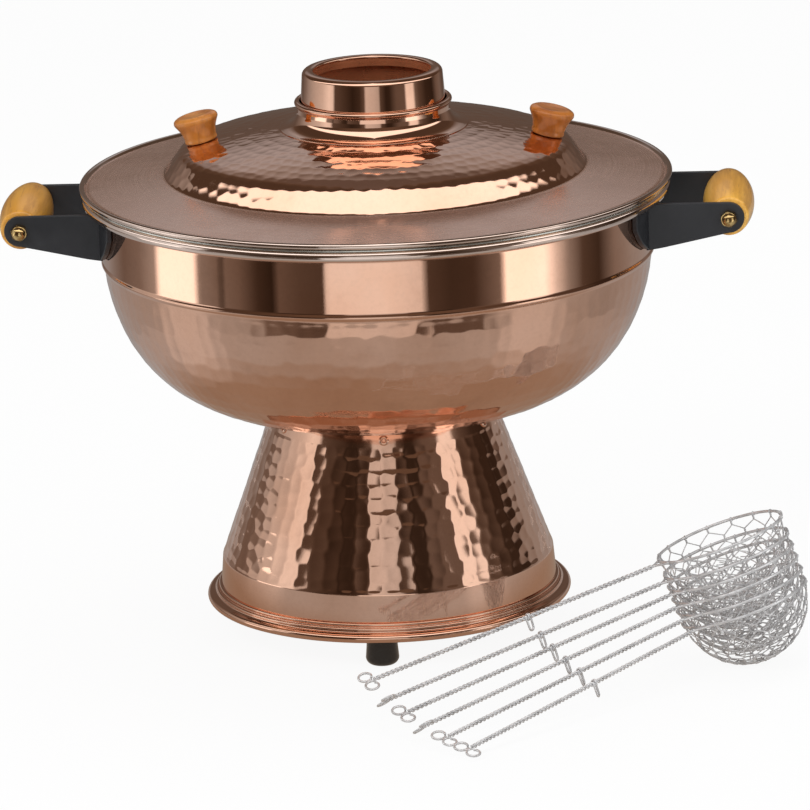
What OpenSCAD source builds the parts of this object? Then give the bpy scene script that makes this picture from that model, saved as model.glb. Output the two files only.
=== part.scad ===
// Copper hot pot for table cooking: a bowl with a flue through it, a lid with a collar that slides
// over the flue, a hammered pedestal with a burner inside, and six nested wire strainers.
// Origin on the table under the flue's axis, X along the handles, Y towards the back, Z up.

/* [Pedestal] */
// Height of the rubber feet under the base
foot_h = 15.5; // [10:0.5:22]
// Diameter of a rubber foot
foot_d = 18; // [14:1:22]
// Distance that the base plate reaches out past the skirt
base_reach = 9.1; // [8.5:0.1:16]
// Height that the base plate rises from its underside to the skirt
base_rise = 9.5; // [8:0.5:14]
// Height of the smooth skirt under the hammered cone
skirt_h = 15; // [10:1:24]
// Outside diameter of the pedestal where the skirt meets the cone
skirt_d = 181; // [170:1:240]
// Height of the cone
cone_h = 81; // [65:1:110]
// Width of the seat between the flue and the cone's edge
seat_w = 9.7; // [9:0.1:18]
// Number of rivets round the top of the cone
rivet_count = 6; // [4:1:12]

/* [Burner] */
// Outside diameter of the burner cup
burner_d = 58; // [40:1:70]
// Height of the burner cup
burner_h = 30; // [20:1:45]

/* [Bowl] */
// Outside diameter of the straight band under the rim
bowl_d = 298; // [260:1:360]
// Height from the flat bottom to the belly's widest level
belly_h = 99; // [80:1:120]
// Distance of the bead below the belly's widest level
bead_drop = 12; // [8:1:20]
// Height of the smooth band above the bead
band_h = 30.5; // [24:0.5:45]
// Radius of the rolled copper rim
rim_roll_r = 3; // [2:0.1:4]
// Distance that the rim reaches out past the band
rim_reach = 10; // [8:0.5:16]

/* [Flue] */
// Outside diameter of the flue at its top
flue_top_d = 75.4; // [66:0.2:92]
// Diameter of the hole in the flue's turned-in lip
flue_hole_d = 63.2; // [50:0.2:65]
// Height that the flue stands above the lid's collar
flue_stand = 16.2; // [8:0.2:40]
// Radius that the flue gains for each millimetre down
flue_taper = 0.0725; // [0.02:0.0025:0.08]

/* [Lid] */
// Height of the lid's collar above the dome
collar_h = 15.2; // [10:0.2:24]
// Distance that the collar's foot flares out past its waist
collar_flare = 9.7; // [5:0.1:14]
// Width of the lid's flat flange
flange_w = 46; // [38:1:56]
// Distance that the dome's side leans in
dome_side_run = 9; // [4:0.5:16]
// Height of the dome's steep side
dome_side_h = 13.2; // [9:0.2:20]
// Radius of the arc across the dome's top
dome_arc_r = 297; // [220:1:400]
// Slope of the dome where it meets the collar, in degrees
dome_start = 5; // [2:1:8]
// Distance of each knob in from the dome's shoulder
knob_in = 11.7; // [11:0.1:24]
// Height of a knob
knob_h = 15; // [12:0.5:24]
// Diameter of a knob at its top
knob_top_d = 24.6; // [20:0.2:30]
// Diameter of a knob at its base
knob_base_d = 18; // [14:0.5:22]

/* [Handles] */
// Distance of each grip's axis from the bowl's band
grip_out = 41; // [36:1:55]
// Largest diameter of a grip
grip_d = 27.6; // [22:0.2:32]
// Diameter of a grip at its ends
grip_end_d = 20.6; // [18:0.2:22]
// Clear distance between a bracket's two arms
arm_gap = 70; // [60:1:100]
// Thickness of a bracket's arms and saddle
arm_t = 3; // [2:0.5:4]
// Height of an arm at the grip
arm_end_h = 16.6; // [14:0.2:20]
// Height of an arm at the bowl
arm_root_h = 25.5; // [20:0.5:27]
// Width across the flats of a cap nut
nut_af = 8; // [7:0.5:10]
// Diameter of the rod through a grip
rod_d = 5; // [4:0.5:6]

/* [Strainers] */
// Diameter of a basket at its rim
basket_d = 71; // [64:1:80]
// Draft of a basket's side, in degrees
basket_draft = 14.5; // [14:0.5:20]
// Thickness that a basket's mesh takes up
basket_t = 1.4; // [1:0.1:1.5]
// Length of a strainer's handle
shaft_l = 167; // [120:1:200]
// Diameter of the twisted handle
shaft_d = 2.7; // [2.2:0.1:3.2]
// Angle that a handle rises from the rim's plane, in degrees
shaft_rise = 2.3; // [0:0.1:6]
// Diameter of the straight wires
wire_d = 1.6; // [1.2:0.1:1.8]
// Distance between the nested baskets along their axis
nest_step = 7; // [6.8:0.1:9]
// Extra distance under the top basket
nest_extra = 2.7; // [0:0.1:5]
// Tilt of the nest's axis, in degrees
nest_tilt = 19.3; // [0:0.1:25]
// Direction in which the nest leans, in degrees
nest_lean = 167.7; // [150:0.1:200]
// Direction in which the lowest handle points, in degrees
fan_start = 225.9; // [210:0.1:240]
// Turn of each handle from the one below, in degrees
fan_step = -4.18; // [-5:0.01:-3.6]
// Clear distance from the bowl's band to the nest's axis
nest_out = 45.2; // [40:0.1:80]
// Distance of the nest in front of the flue's axis
nest_front = 93.4; // [85:0.1:120]

/* [Sheet and clearances] */
// Thickness of the copper sheet
copper_t = 1.5; // [1:0.1:2]
// Thickness of the bowl's lining
lining_t = 1; // [0.8:0.1:1.2]
// Thickness of the lid's sheet
lid_t = 1.3; // [1:0.1:1.6]
// Gap between parts that touch all over
skin_gap = 0.1; // [0.05:0.01:0.2]
// Gap between parts that are lifted apart
lift_gap = 0.3; // [0.2:0.05:0.5]
// Radial clearance of the pot's locating ring in its seat
seat_clear = 0.4; // [0.3:0.05:0.5]
// Radial clearance between the lid's collar and the flue
collar_clear = 0.7; // [0.5:0.05:1.2]
// Radial clearance of a rod or screw in its hole
hole_clear = 0.05; // [0.03:0.01:0.1]

/* [Hidden] */
$fn = 96;
LEFT = -1;
RIGHT = 1;
COPPER = "#c87d5c";
TIN = "#c9c8c4";
STEEL = "#a9abae";
BRASS = "#c9a85a";
WOOD = "#c98a45";
BLACK = "#2b2c2f";
WIRE = "#bfc2c6";

// Pedestal, from the table up
base_roll_r = 2.2;
base_r = skirt_d / 2 + base_reach;
base_flange_w = 33.6;
base_flange_r = base_r - base_flange_w;
base_top_z = foot_h + copper_t;
skirt_z = foot_h + base_rise;
skirt_draft = 1.3;
skirt_low_r = skirt_d / 2 + skirt_draft;
cone_z = skirt_z + skirt_h;
seat_z = cone_z + cone_h;
cone_top_z = seat_z - lift_gap;
foot_ring_r = base_r - base_flange_w / 2 + 1.2;
foot_angles = [-90, 30, 150];
foot_stud_r = 2;
foot_nut_h = 3;

// Burner
tray_r = foot_ring_r - 6;
tray_t = 1.2;
tray_z = base_top_z;
burner_z = tray_z + tray_t;
burner_wall = 1;
burner_r = burner_d / 2;
locator_h = 3;
vent_count = 6;
vent_r = 7;

// Bowl: the belly is a superellipse of these two powers
belly_side_power = 3.73;
belly_depth_power = 2.1;
belly_steps = 26;
bowl_r = bowl_d / 2;
belly_top_z = seat_z + belly_h;
bead_z = belly_top_z - bead_drop;
bead_r = 1.2;
band_top_z = bead_z + band_h;
rim_r = bowl_r + rim_reach - rim_roll_r;
rim_z = band_top_z + 1.1 + rim_roll_r;
rim_top_z = rim_z + rim_roll_r;
lining_rim_z = rim_top_z + skin_gap;
lining_top_z = lining_rim_z + lining_t;

// Lid
lid_roll_r = 1.6;
lid_r = bowl_r + rim_reach + 1;
dome_foot_r = lid_r - flange_w;
dome_top_r = dome_foot_r - dome_side_run;
flue_top_r = flue_top_d / 2;
flue_hole_r = flue_hole_d / 2;
collar_waist = 0.6;
collar_waist_r = flue_top_r + flue_taper * (flue_stand + (1 - collar_waist) * collar_h) + collar_clear + lid_t;
collar_foot_r = collar_waist_r + collar_flare;
lid_roll_z = lining_top_z + lift_gap + lid_roll_r;
flange_rise = 5.6;
dome_foot_z = lid_roll_z + flange_rise;
shoulder_z = dome_foot_z + dome_side_h;
dome_end = asin((dome_top_r - collar_foot_r) / dome_arc_r + sin(dome_start));
dome_cx = collar_foot_r - dome_arc_r * sin(dome_start);
dome_cz = shoulder_z - dome_arc_r * cos(dome_end);
collar_z = dome_cz + dome_arc_r * cos(dome_start);
collar_top_z = collar_z + collar_h;
flue_top_z = collar_top_z + flue_stand;
knob_r = dome_top_r - knob_in;
knob_tilt = asin((knob_r - dome_cx) / dome_arc_r);
knob_z = dome_cz + dome_arc_r * cos(knob_tilt);
knob_screw_r = 2;
knob_screw_l = 10;
washer_t = 1;
washer_r = 6;
washer_z = -lid_t - washer_t - 0.15;

// Top of the cone, its seat and rivets
cone_top_r = flue_r(seat_z) + seat_w;
seat_wall_h = 9;
seat_wall_r = cone_top_r - copper_t - 0.6;
seat_turn = 3;
rivet_drop = 3.2;
rivet_r = 1.5;
rivet_head_r = 2.8;
rivet_head_h = 1;
rivet_hole_r = 0.8;
ring_r = seat_wall_r - copper_t - 3;
ring_h = 6;
bowl_land_r = cone_top_r + 1;

// Handles
saddle_r = bowl_r + skin_gap;
arm_x = bowl_r + grip_out;
arm_top_z = rim_z - rim_roll_r - 0.4;
arm_end_r = arm_end_h / 2;
grip_z = arm_top_z - arm_end_r;
arm_y = arm_gap / 2;
grip_half = arm_y - 0.2;
saddle_half = arm_y + 21;
rod_r = rod_d / 2;
nut_h = 4;
nut_cap_h = 3;

// Strainers
strainer_count = 6;
rim_wire_r = wire_d / 2;
basket_r = basket_d / 2;
basket_side_h = 7;
basket_low_r = basket_r - basket_side_h * tan(basket_draft);
basket_ball_r = basket_low_r / cos(basket_draft);
basket_ball_z = -basket_side_h + basket_ball_r * sin(basket_draft) - rim_wire_r;
rim_wire_ring_r = basket_r - basket_t / 2;
nest_rest_z = basket_ball_r - basket_ball_z * cos(nest_tilt);
fork_out = 6.5;
fork_half = 12;
loop_r = 3.4;
bow_turn = 65;
hook_at = 0.45;
hook_drop = 7.5;
hook_half = 2.2;

function arc(cx, cy, r, from, to, steps) =
  [for (i = [0 : steps]) let (a = from + (to - from) * i / steps) [cx + r * cos(a), cy + r * sin(a)]];
function belly_point(r, h, a) = [
  r * pow(sin(a), 2 / belly_side_power),
  belly_top_z - h * pow(cos(a), 2 / belly_depth_power)
];
function belly_angle(r, at_r) = asin(pow(at_r / r, belly_side_power / 2));
function belly_height_angle(h, at_z) = acos(pow((belly_top_z - at_z) / h, belly_depth_power / 2));
function belly(r, h, low_r, high_z) = let (
  a = belly_angle(r, low_r),
  b = belly_height_angle(h, high_z)
) [for (i = [0 : belly_steps]) belly_point(r, h, a + (b - a) * i / belly_steps)];
function flue_r(z) = flue_top_r + (flue_top_z - z) * flue_taper;
function cone_r(z) = skirt_d / 2 + (cone_top_r - skirt_d / 2) * (z - cone_z) / cone_h;
function reversed(list) = [for (i = [len(list) - 1 : -1 : 0]) list[i]];
function nest_lift(k) = nest_step * k + (k == strainer_count - 1 ? nest_extra : 0);

module rod(from, to, r) {
  d = to - from;
  l = norm(d);
  translate(from)
    rotate([0, acos(d[2] / l), atan2(d[1], d[0])])
      cylinder(h = l, r = r);
}

module ring_of(count, start) {
  for (i = [0 : count - 1])
    rotate([0, 0, start + i * 360 / count])
      children();
}

// ---- Pedestal ----
module pedestal_cone() {
  color(COPPER)
    difference() {
      rotate_extrude()
        polygon([
          [skirt_low_r, skirt_z], [skirt_d / 2, cone_z], [cone_r(cone_top_z), cone_top_z],
          [cone_r(cone_top_z) - copper_t, cone_top_z], [skirt_d / 2 - copper_t, cone_z],
          [skirt_low_r - copper_t, skirt_z]
        ]);
      rivet_holes();
    }
}

module at_rivet() {
  rivet_z = seat_z - rivet_drop;
  slope = atan((skirt_d / 2 - cone_top_r) / cone_h);
  ring_of(rivet_count, -90 + seat_turn)
    translate([cone_r(rivet_z), 0, rivet_z])
      rotate([0, 90 - slope, 0])
        children();
}

module rivet_holes() {
  at_rivet()
    translate([0, 0, -8])
      cylinder(h = 12, r = rivet_r + hole_clear);
}

module pot_seat() {
  low_z = seat_z - seat_wall_h;
  low_r = cone_r(low_z) - copper_t - skin_gap;
  high_r = cone_r(cone_top_z) - copper_t - skin_gap;
  color(STEEL)
    difference() {
      rotate_extrude()
        polygon([
          [low_r, low_z], [high_r, cone_top_z], [high_r, seat_z],
          [ring_r + seat_clear, seat_z], [ring_r + seat_clear, seat_z - copper_t],
          [high_r - copper_t, seat_z - copper_t], [low_r - copper_t, low_z]
        ]);
      rivet_holes();
    }
}

module seat_rivets() {
  grip_l = 2 * copper_t + skin_gap;
  color(COPPER)
    at_rivet()
      difference() {
        union() {
          cylinder(h = rivet_head_h, r1 = rivet_head_r, r2 = rivet_head_r - 0.7);
          translate([0, 0, -grip_l - 1.2])
            cylinder(h = grip_l + 1.3, r = rivet_r);
          translate([0, 0, -grip_l - 1.4])
            cylinder(h = 1.2, r = rivet_r + 0.6);
        }
        translate([0, 0, -0.5])
          cylinder(h = 3, r = rivet_hole_r);
      }
}

module base_plate() {
  roll_x = base_r - base_roll_r;
  roll_z = foot_h + base_roll_r;
  upstand_r = skirt_low_r - copper_t - skin_gap;
  upstand_top_r = skirt_d / 2 - copper_t - skin_gap;
  upstand_z = cone_z - 2;
  bead_x = skirt_low_r + 1.4;
  color(COPPER)
    difference() {
      rotate_extrude()
        polygon(concat(
          [[base_flange_r, foot_h]],
          arc(roll_x, roll_z, base_roll_r, -90, 90, 12),
          [[roll_x - 1.6, roll_z + base_roll_r + 0.3]],
          arc(bead_x + 0.7, roll_z + 3.9, 1, -45, 135, 8),
          arc(bead_x - 0.9, skirt_z - 1.3, 1, -45, 90, 8),
          [
            [upstand_r, skirt_z - 0.3], [upstand_r, skirt_z], [upstand_top_r, upstand_z],
            [upstand_top_r - copper_t, upstand_z], [upstand_r - copper_t, skirt_z],
            [upstand_r - copper_t, skirt_z - 2], [bead_x - 1, roll_z + 2.9],
            [roll_x - 1.6, roll_z + 0.8], [roll_x - 1.6, base_top_z], [base_flange_r, base_top_z]
          ]
        ));
      for (a = foot_angles)
        rotate([0, 0, a])
          translate([foot_ring_r, 0, 0])
            cylinder(h = 2 * foot_h, r = foot_stud_r + hole_clear);
    }
}

module rubber_foot(angle) {
  crown = 4;
  color(BLACK)
    rotate([0, 0, angle])
      translate([foot_ring_r, 0, 0])
        difference() {
          rotate_extrude()
            polygon(concat(
              [[0, 0], [foot_d / 2 - crown, 0]],
              arc(foot_d / 2 - crown, crown, crown, -90, 0, 8),
              [[foot_d / 2 - 0.8, foot_h], [0, foot_h]]
            ));
          translate([0, 0, foot_h - 9])
            cylinder(h = 10, r = foot_stud_r + hole_clear);
        }
}

module foot_studs() {
  color(STEEL)
    for (a = foot_angles)
      rotate([0, 0, a])
        translate([foot_ring_r, 0, foot_h - 8.5])
          cylinder(h = 8.5 + copper_t + foot_nut_h + 1.5, r = foot_stud_r);
}

module foot_nuts() {
  color(STEEL)
    for (a = foot_angles)
      rotate([0, 0, a])
        translate([foot_ring_r, 0, base_top_z])
          difference() {
            cylinder(h = foot_nut_h, r = 4, $fn = 6);
            translate([0, 0, -1])
              cylinder(h = foot_nut_h + 2, r = foot_stud_r + hole_clear);
          }
}

module burner_tray() {
  color(STEEL)
    translate([0, 0, tray_z])
      difference() {
        union() {
          cylinder(h = tray_t, r = tray_r);
          difference() {
            cylinder(h = tray_t + locator_h, r = burner_r + lift_gap + burner_wall);
            translate([0, 0, tray_t])
              cylinder(h = locator_h + 1, r = burner_r + lift_gap);
          }
        }
        ring_of(vent_count, 0)
          translate([(burner_r + tray_r) / 2 + 2, 0, -1])
            cylinder(h = tray_t + 2, r = vent_r);
      }
}

// ---- Burner ----
module burner_cup() {
  color(STEEL)
    translate([0, 0, burner_z])
      difference() {
        cylinder(h = burner_h, r = burner_r);
        translate([0, 0, burner_wall])
          cylinder(h = burner_h, r = burner_r - burner_wall);
      }
}

module burner_pad() {
  color("white")
    translate([0, 0, burner_z + burner_wall])
      cylinder(h = burner_h - burner_wall - 4, r = burner_r - burner_wall - skin_gap);
}

module burner_grid() {
  hole_r = 2.2;
  color(STEEL)
    translate([0, 0, burner_z + burner_h])
      difference() {
        union() {
          cylinder(h = 1, r = burner_r + 1);
          translate([0, 0, -3])
            cylinder(h = 3, r = burner_r - burner_wall - skin_gap);
        }
        translate([0, 0, -4])
          cylinder(h = 4, r = burner_r - 2 * burner_wall - skin_gap);
        for (ring = [1 : 2])
          ring_of(8 * ring, 0)
            translate([burner_r * 0.36 * ring, 0, -1])
              cylinder(h = 3, r = hole_r);
        translate([0, 0, -1])
          cylinder(h = 3, r = hole_r);
      }
}

// ---- Pot ----
module bowl_shell() {
  outer = belly(bowl_r, belly_h, bowl_land_r + 3, bead_z - bead_r);
  inner = belly(bowl_r - copper_t, belly_h - copper_t, bowl_land_r, bead_z);
  hole_r = flue_r(seat_z) + skin_gap;
  color(COPPER)
    rotate_extrude()
      union() {
        polygon(concat(
          [[hole_r, seat_z], [bowl_land_r, seat_z]],
          outer,
          arc(bowl_r - 0.1, bead_z, bead_r, -75, 75, 6),
          [
            [bowl_r, bead_z + bead_r], [bowl_r, band_top_z],
            [bowl_r + 0.6, rim_z - 1.2], [rim_r, rim_z - 0.6], [rim_r, rim_z + 0.8],
            [bowl_r - copper_t + 0.8, rim_z + 0.2], [bowl_r - copper_t, band_top_z]
          ],
          reversed(inner),
          [[bowl_land_r - 2, seat_z + copper_t], [hole_r, seat_z + copper_t]]
        ));
        translate([rim_r, rim_z])
          circle(r = rim_roll_r);
      }
}

module bowl_lining() {
  out_r = bowl_r - copper_t - skin_gap;
  out_h = belly_h - copper_t - skin_gap;
  low_z = seat_z + copper_t + skin_gap;
  outer = belly(out_r, out_h, bowl_land_r, bead_z);
  inner = belly(out_r - lining_t, out_h - lining_t, bowl_land_r, bead_z);
  hole_r = flue_r(low_z) + skin_gap;
  color(TIN)
    rotate_extrude()
      polygon(concat(
        [[hole_r, low_z], [bowl_land_r - 2, low_z]],
        outer,
        [
          [out_r, band_top_z], [out_r + 0.4, lining_rim_z - 1.2], [out_r + 1.6, lining_rim_z],
          [rim_r + rim_roll_r - 0.4, lining_rim_z], [rim_r + rim_roll_r - 0.4, lining_top_z],
          [out_r, lining_top_z], [out_r - lining_t, lining_top_z - 1.2],
          [out_r - lining_t, band_top_z]
        ],
        reversed(inner),
        [[bowl_land_r - 2, low_z + lining_t], [hole_r, low_z + lining_t]]
      ));
}

module flue_tube() {
  lip_r = 3;
  lip_z = flue_top_z - lip_r;
  lip_depth = 6;
  wall = copper_t;
  color(COPPER)
    rotate_extrude()
      polygon(concat(
        [[flue_r(seat_z), seat_z], [flue_r(lip_z), lip_z]],
        arc(flue_top_r - lip_r, lip_z, lip_r, 0, 90, 8),
        arc(flue_hole_r + 1, flue_top_z - 1.4, 1, 90, 180, 4),
        [
          [flue_hole_r, flue_top_z - lip_depth], [flue_hole_r + 1.2, flue_top_z - lip_depth],
          [flue_hole_r + 1.2, flue_top_z - 3], [flue_r(lip_z) - wall, flue_top_z - 3.4],
          [flue_r(seat_z) - wall, seat_z]
        ]
      ));
}

module locating_ring() {
  color(STEEL)
    translate([0, 0, seat_z - ring_h])
      difference() {
        cylinder(h = ring_h, r = ring_r);
        translate([0, 0, -1])
          cylinder(h = ring_h + 2, r = ring_r - copper_t);
      }
}

module arm_outline(side) {
  root_x = sqrt(pow(saddle_r + arm_t / 2, 2) - pow(arm_y + arm_t, 2));
  difference() {
    union() {
      translate([side * arm_x, grip_z])
        circle(r = arm_end_r);
      polygon([
        [side * root_x, arm_top_z - arm_root_h], [side * root_x, arm_top_z],
        [side * arm_x, arm_top_z], [side * arm_x, grip_z - arm_end_r]
      ]);
    }
    translate([side * arm_x, grip_z])
      circle(r = rod_r + hole_clear);
  }
}

module rivet_places(side) {
  spread = asin(arm_gap / 5 / (saddle_r + arm_t));
  for (turn = [-spread, spread])
    rotate([0, 0, (side == LEFT ? 180 : 0) + turn])
      translate([saddle_r + arm_t, 0, arm_top_z - arm_root_h / 2 - 1])
        rotate([0, 90, 0])
          children();
}

module bracket(side) {
  saddle_low = arm_top_z - arm_root_h;
  saddle_high = band_top_z - 0.5;
  color(BLACK) {
    for (y = [-arm_y, arm_y + arm_t])
      translate([0, y, 0])
        rotate([90, 0, 0])
          linear_extrude(arm_t)
            arm_outline(side);
    difference() {
      intersection() {
        translate([0, 0, saddle_low])
          difference() {
            cylinder(h = saddle_high - saddle_low, r = saddle_r + arm_t);
            translate([0, 0, -1])
              cylinder(h = saddle_high - saddle_low + 2, r = saddle_r);
          }
        rotate([90, 0, side * 90])
          linear_extrude(saddle_r + 2 * arm_t)
            polygon([
              [-saddle_half, saddle_high], [-saddle_half, saddle_high - 9],
              [-saddle_half + 7, saddle_high - 18], [-arm_y - 2, saddle_low],
              [arm_y + 2, saddle_low], [saddle_half - 7, saddle_high - 18],
              [saddle_half, saddle_high - 9], [saddle_half, saddle_high]
            ]);
      }
      rivet_places(side)
        translate([0, 0, -8])
          cylinder(h = 12, r = rivet_r + hole_clear);
    }
  }
}

module bracket_rivets(side) {
  color(STEEL)
    rivet_places(side) {
      cylinder(h = 1.2, r1 = 3, r2 = 2);
      translate([0, 0, -arm_t + 0.2])
        cylinder(h = arm_t, r = rivet_r);
    }
}

module grip(side) {
  sag = (grip_d - grip_end_d) / 2;
  arc_r = (grip_half * grip_half + sag * sag) / (2 * sag);
  half_angle = asin((grip_half - 1) / arc_r);
  end_edge = grip_end_d / 2 - 1;
  color(WOOD)
    translate([side * arm_x, 0, grip_z])
      rotate([90, 0, 0])
        difference() {
          rotate_extrude()
            polygon(concat(
              [[0, -grip_half], [end_edge, -grip_half]],
              arc(grip_d / 2 - arc_r, 0, arc_r, -half_angle, half_angle, 20),
              [[end_edge, grip_half], [0, grip_half]]
            ));
          translate([0, 0, -grip_half - 1])
            cylinder(h = 2 * grip_half + 2, r = rod_r + hole_clear);
        }
}

module handle_rod(side) {
  half = arm_y + arm_t + nut_h;
  color(STEEL)
    translate([side * arm_x, half, grip_z])
      rotate([90, 0, 0])
        cylinder(h = 2 * half, r = rod_r);
}

module cap_nut() {
  difference() {
    union() {
      cylinder(h = nut_h, r = nut_af / 2 / cos(30), $fn = 6);
      translate([0, 0, nut_h - 0.5])
        rotate_extrude()
          polygon(concat(
            [[0, 0], [nut_af / 2 - 0.4, 0], [nut_af / 2 - 0.4, 0.6]],
            arc(0.6, 0.5, nut_cap_h, 10, 90, 6),
            [[0, 0.5 + nut_cap_h]]
          ));
    }
    translate([0, 0, -1])
      cylinder(h = nut_h + 1.2, r = rod_r + hole_clear);
  }
}

module cap_nuts(side) {
  out_y = arm_y + arm_t;
  color(BRASS)
    for (front = [-1, 1])
      translate([side * arm_x, front * out_y, grip_z])
        rotate([-front * 90, 0, 0])
          cap_nut();
}

// ---- Lid ----
module lid_shell() {
  roll_x = lid_r - lid_roll_r;
  top = [for (i = [0 : 12])
    let (a = dome_end + (dome_start - dome_end) * i / 12)
    [dome_cx + dome_arc_r * sin(a), dome_cz + dome_arc_r * cos(a)]];
  under = [for (i = [0 : 12])
    let (a = dome_start + (dome_end - dome_start) * i / 12)
    [dome_cx + (dome_arc_r - lid_t) * sin(a), dome_cz + (dome_arc_r - lid_t) * cos(a)]];
  hole_r = flue_r(shoulder_z) + collar_clear + 0.6;
  color(COPPER)
    difference() {
      rotate_extrude()
        union() {
          polygon(concat(
            [[roll_x, lid_roll_z - 0.8], [roll_x, lid_roll_z + 0.5], [dome_foot_r, dome_foot_z]],
            top,
            [[hole_r, collar_z + 0.3], [hole_r, collar_z + 0.3 - lid_t]],
            under,
            [[dome_foot_r - lid_t, dome_foot_z - lid_t]]
          ));
          translate([roll_x, lid_roll_z])
            circle(r = lid_roll_r);
        }
      for (side = [LEFT, RIGHT])
        at_knob(side)
          translate([0, 0, -5])
            cylinder(h = 10, r = knob_screw_r + hole_clear);
    }
}

module lid_collar() {
  flare_h = collar_h * collar_waist;
  bead = 1.5;
  bead_centre = [flue_r(collar_top_z) + collar_clear + 1.4, collar_top_z - bead];
  steps = 8;
  color(COPPER)
    rotate_extrude()
      polygon(concat(
        [[flue_r(collar_z + 0.5) + collar_clear, collar_z + 0.5],
         [collar_foot_r, collar_z + skin_gap]],
        [for (i = [1 : steps])
          let (a = 90 * i / steps)
          [collar_foot_r - collar_flare * sin(a), collar_z + 0.4 + flare_h * (1 - cos(a))]],
        [[collar_waist_r, bead_centre[1] - bead]],
        arc(bead_centre[0], bead_centre[1], bead, -60, 90, 8),
        [[flue_r(collar_top_z) + collar_clear, collar_top_z]]
      ));
}

module at_knob(side) {
  translate([side * knob_r, 0, knob_z])
    rotate([0, side * knob_tilt, 0])
      children();
}

module knob(side) {
  top_r = knob_top_d / 2;
  low_r = knob_base_d / 2;
  edge = 1.6;
  color(WOOD)
    at_knob(side)
      translate([0, 0, skin_gap])
        difference() {
          rotate_extrude()
            polygon(concat(
              [[0, 0], [low_r - 0.6, 0], [low_r, 0.6], [low_r + 0.4, 3]],
              arc(top_r - edge, knob_h - 2 - edge, edge, -30, 80, 8),
              [[top_r - 4, knob_h - 0.4], [0, knob_h]]
            ));
          translate([0, 0, -1])
            cylinder(h = knob_screw_l + 1.5, r = knob_screw_r + hole_clear);
        }
}

module knob_screws() {
  color(STEEL)
    for (side = [LEFT, RIGHT])
      at_knob(side) {
        translate([0, 0, washer_z])
          cylinder(h = knob_screw_l - washer_z, r = knob_screw_r);
        translate([0, 0, washer_z - 2])
          cylinder(h = 2, r1 = 3, r2 = 4);
      }
}

module knob_washers() {
  color(STEEL)
    for (side = [LEFT, RIGHT])
      at_knob(side)
        translate([0, 0, washer_z])
          difference() {
            cylinder(h = washer_t, r = washer_r);
            translate([0, 0, -1])
              cylinder(h = washer_t + 2, r = knob_screw_r + hole_clear);
          }
}

// ---- Strainers ----
// Strainer k counts from the top; its basket's rim is level with the local origin.
module at_strainer(k) {
  level = strainer_count - k;
  translate([bowl_r + nest_out, -nest_front, nest_rest_z])
    rotate([0, 0, nest_lean])
      rotate([0, nest_tilt, 0])
        translate([0, 0, nest_lift(level)])
          rotate([0, 0, fan_start + fan_step * level - nest_lean])
            children();
}

module strainer_basket(k) {
  ball_in = basket_ball_r - basket_t;
  color(WIRE)
    at_strainer(k)
      rotate_extrude()
        polygon(concat(
          [[0, basket_ball_z - basket_ball_r]],
          arc(0, basket_ball_z, basket_ball_r, -80, -basket_draft, 12),
          [[basket_r, -rim_wire_r], [basket_r - basket_t, -rim_wire_r]],
          reversed(arc(0, basket_ball_z, ball_in, -80, -basket_draft, 12)),
          [[0, basket_ball_z - ball_in]]
        ));
}

module strainer_handle(k) {
  color(WIRE)
    at_strainer(k) {
      rotate_extrude()
        translate([rim_wire_ring_r, 0])
          circle(r = rim_wire_r, $fn = 24);
      translate([rim_wire_ring_r, 0, 0])
        rotate([0, -shaft_rise, 0]) {
          for (a = [-fork_half, fork_half])
            rod([rim_wire_ring_r * (cos(a) - 1), rim_wire_ring_r * sin(a), 0],
                [fork_out + 2, 0, 0], rim_wire_r);
          rod([fork_out, 0, 0], [fork_out + shaft_l, 0, 0], shaft_d / 2);
          translate([fork_out + shaft_l, 0, 0])
            rotate([k == 2 || k == 4 ? bow_turn : 0, 0, 0])
              shaft_bow();
          translate([fork_out + hook_at * shaft_l, 0, 0])
            shaft_hook();
        }
    }
}

// Two loops of wire, one on each side of the handle's end
module shaft_bow() {
  for (side = [-1, 1])
    translate([loop_r * 0.8, side * (loop_r + rim_wire_r), 0])
      rotate_extrude()
        translate([loop_r, 0])
          circle(r = rim_wire_r, $fn = 24);
}

// A square bend of wire that hangs the strainer on the bowl's edge
module shaft_hook() {
  wide = hook_half + 0.3;
  for (side = [-1, 1])
    rod([0, side * hook_half, 0.2], [0, side * hook_half, -hook_drop], rim_wire_r);
  for (z = [-hook_drop, 0.2])
    rod([0, -wide, z], [0, wide, z], rim_wire_r);
}

pedestal_cone();
pot_seat();
seat_rivets();
base_plate();
rubber_foot(foot_angles[0]);  // front_foot
rubber_foot(foot_angles[2]);  // left_foot
rubber_foot(foot_angles[1]);  // right_foot
foot_studs();
foot_nuts();
burner_tray();
burner_cup();
burner_pad();
burner_grid();
bowl_shell();
bowl_lining();
flue_tube();
locating_ring();
bracket(LEFT);  // left_bracket
grip(LEFT);  // left_grip
handle_rod(LEFT);  // left_rod
cap_nuts(LEFT);  // left_cap_nuts
bracket_rivets(LEFT);  // left_rivets
bracket(RIGHT);  // right_bracket
grip(RIGHT);  // right_grip
handle_rod(RIGHT);  // right_rod
cap_nuts(RIGHT);  // right_cap_nuts
bracket_rivets(RIGHT);  // right_rivets
lid_shell();
lid_collar();
knob(LEFT);  // left_knob
knob(RIGHT);  // right_knob
knob_screws();
knob_washers();
strainer_handle(1);  // strainer_1_handle
strainer_basket(1);  // strainer_1_basket
strainer_handle(2);  // strainer_2_handle
strainer_basket(2);  // strainer_2_basket
strainer_handle(3);  // strainer_3_handle
strainer_basket(3);  // strainer_3_basket
strainer_handle(4);  // strainer_4_handle
strainer_basket(4);  // strainer_4_basket
strainer_handle(5);  // strainer_5_handle
strainer_basket(5);  // strainer_5_basket
strainer_handle(6);  // strainer_6_handle
strainer_basket(6);  // strainer_6_basket
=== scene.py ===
import math
import random

import bmesh
import bpy
import numpy as np
from mathutils import Matrix, Vector


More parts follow.
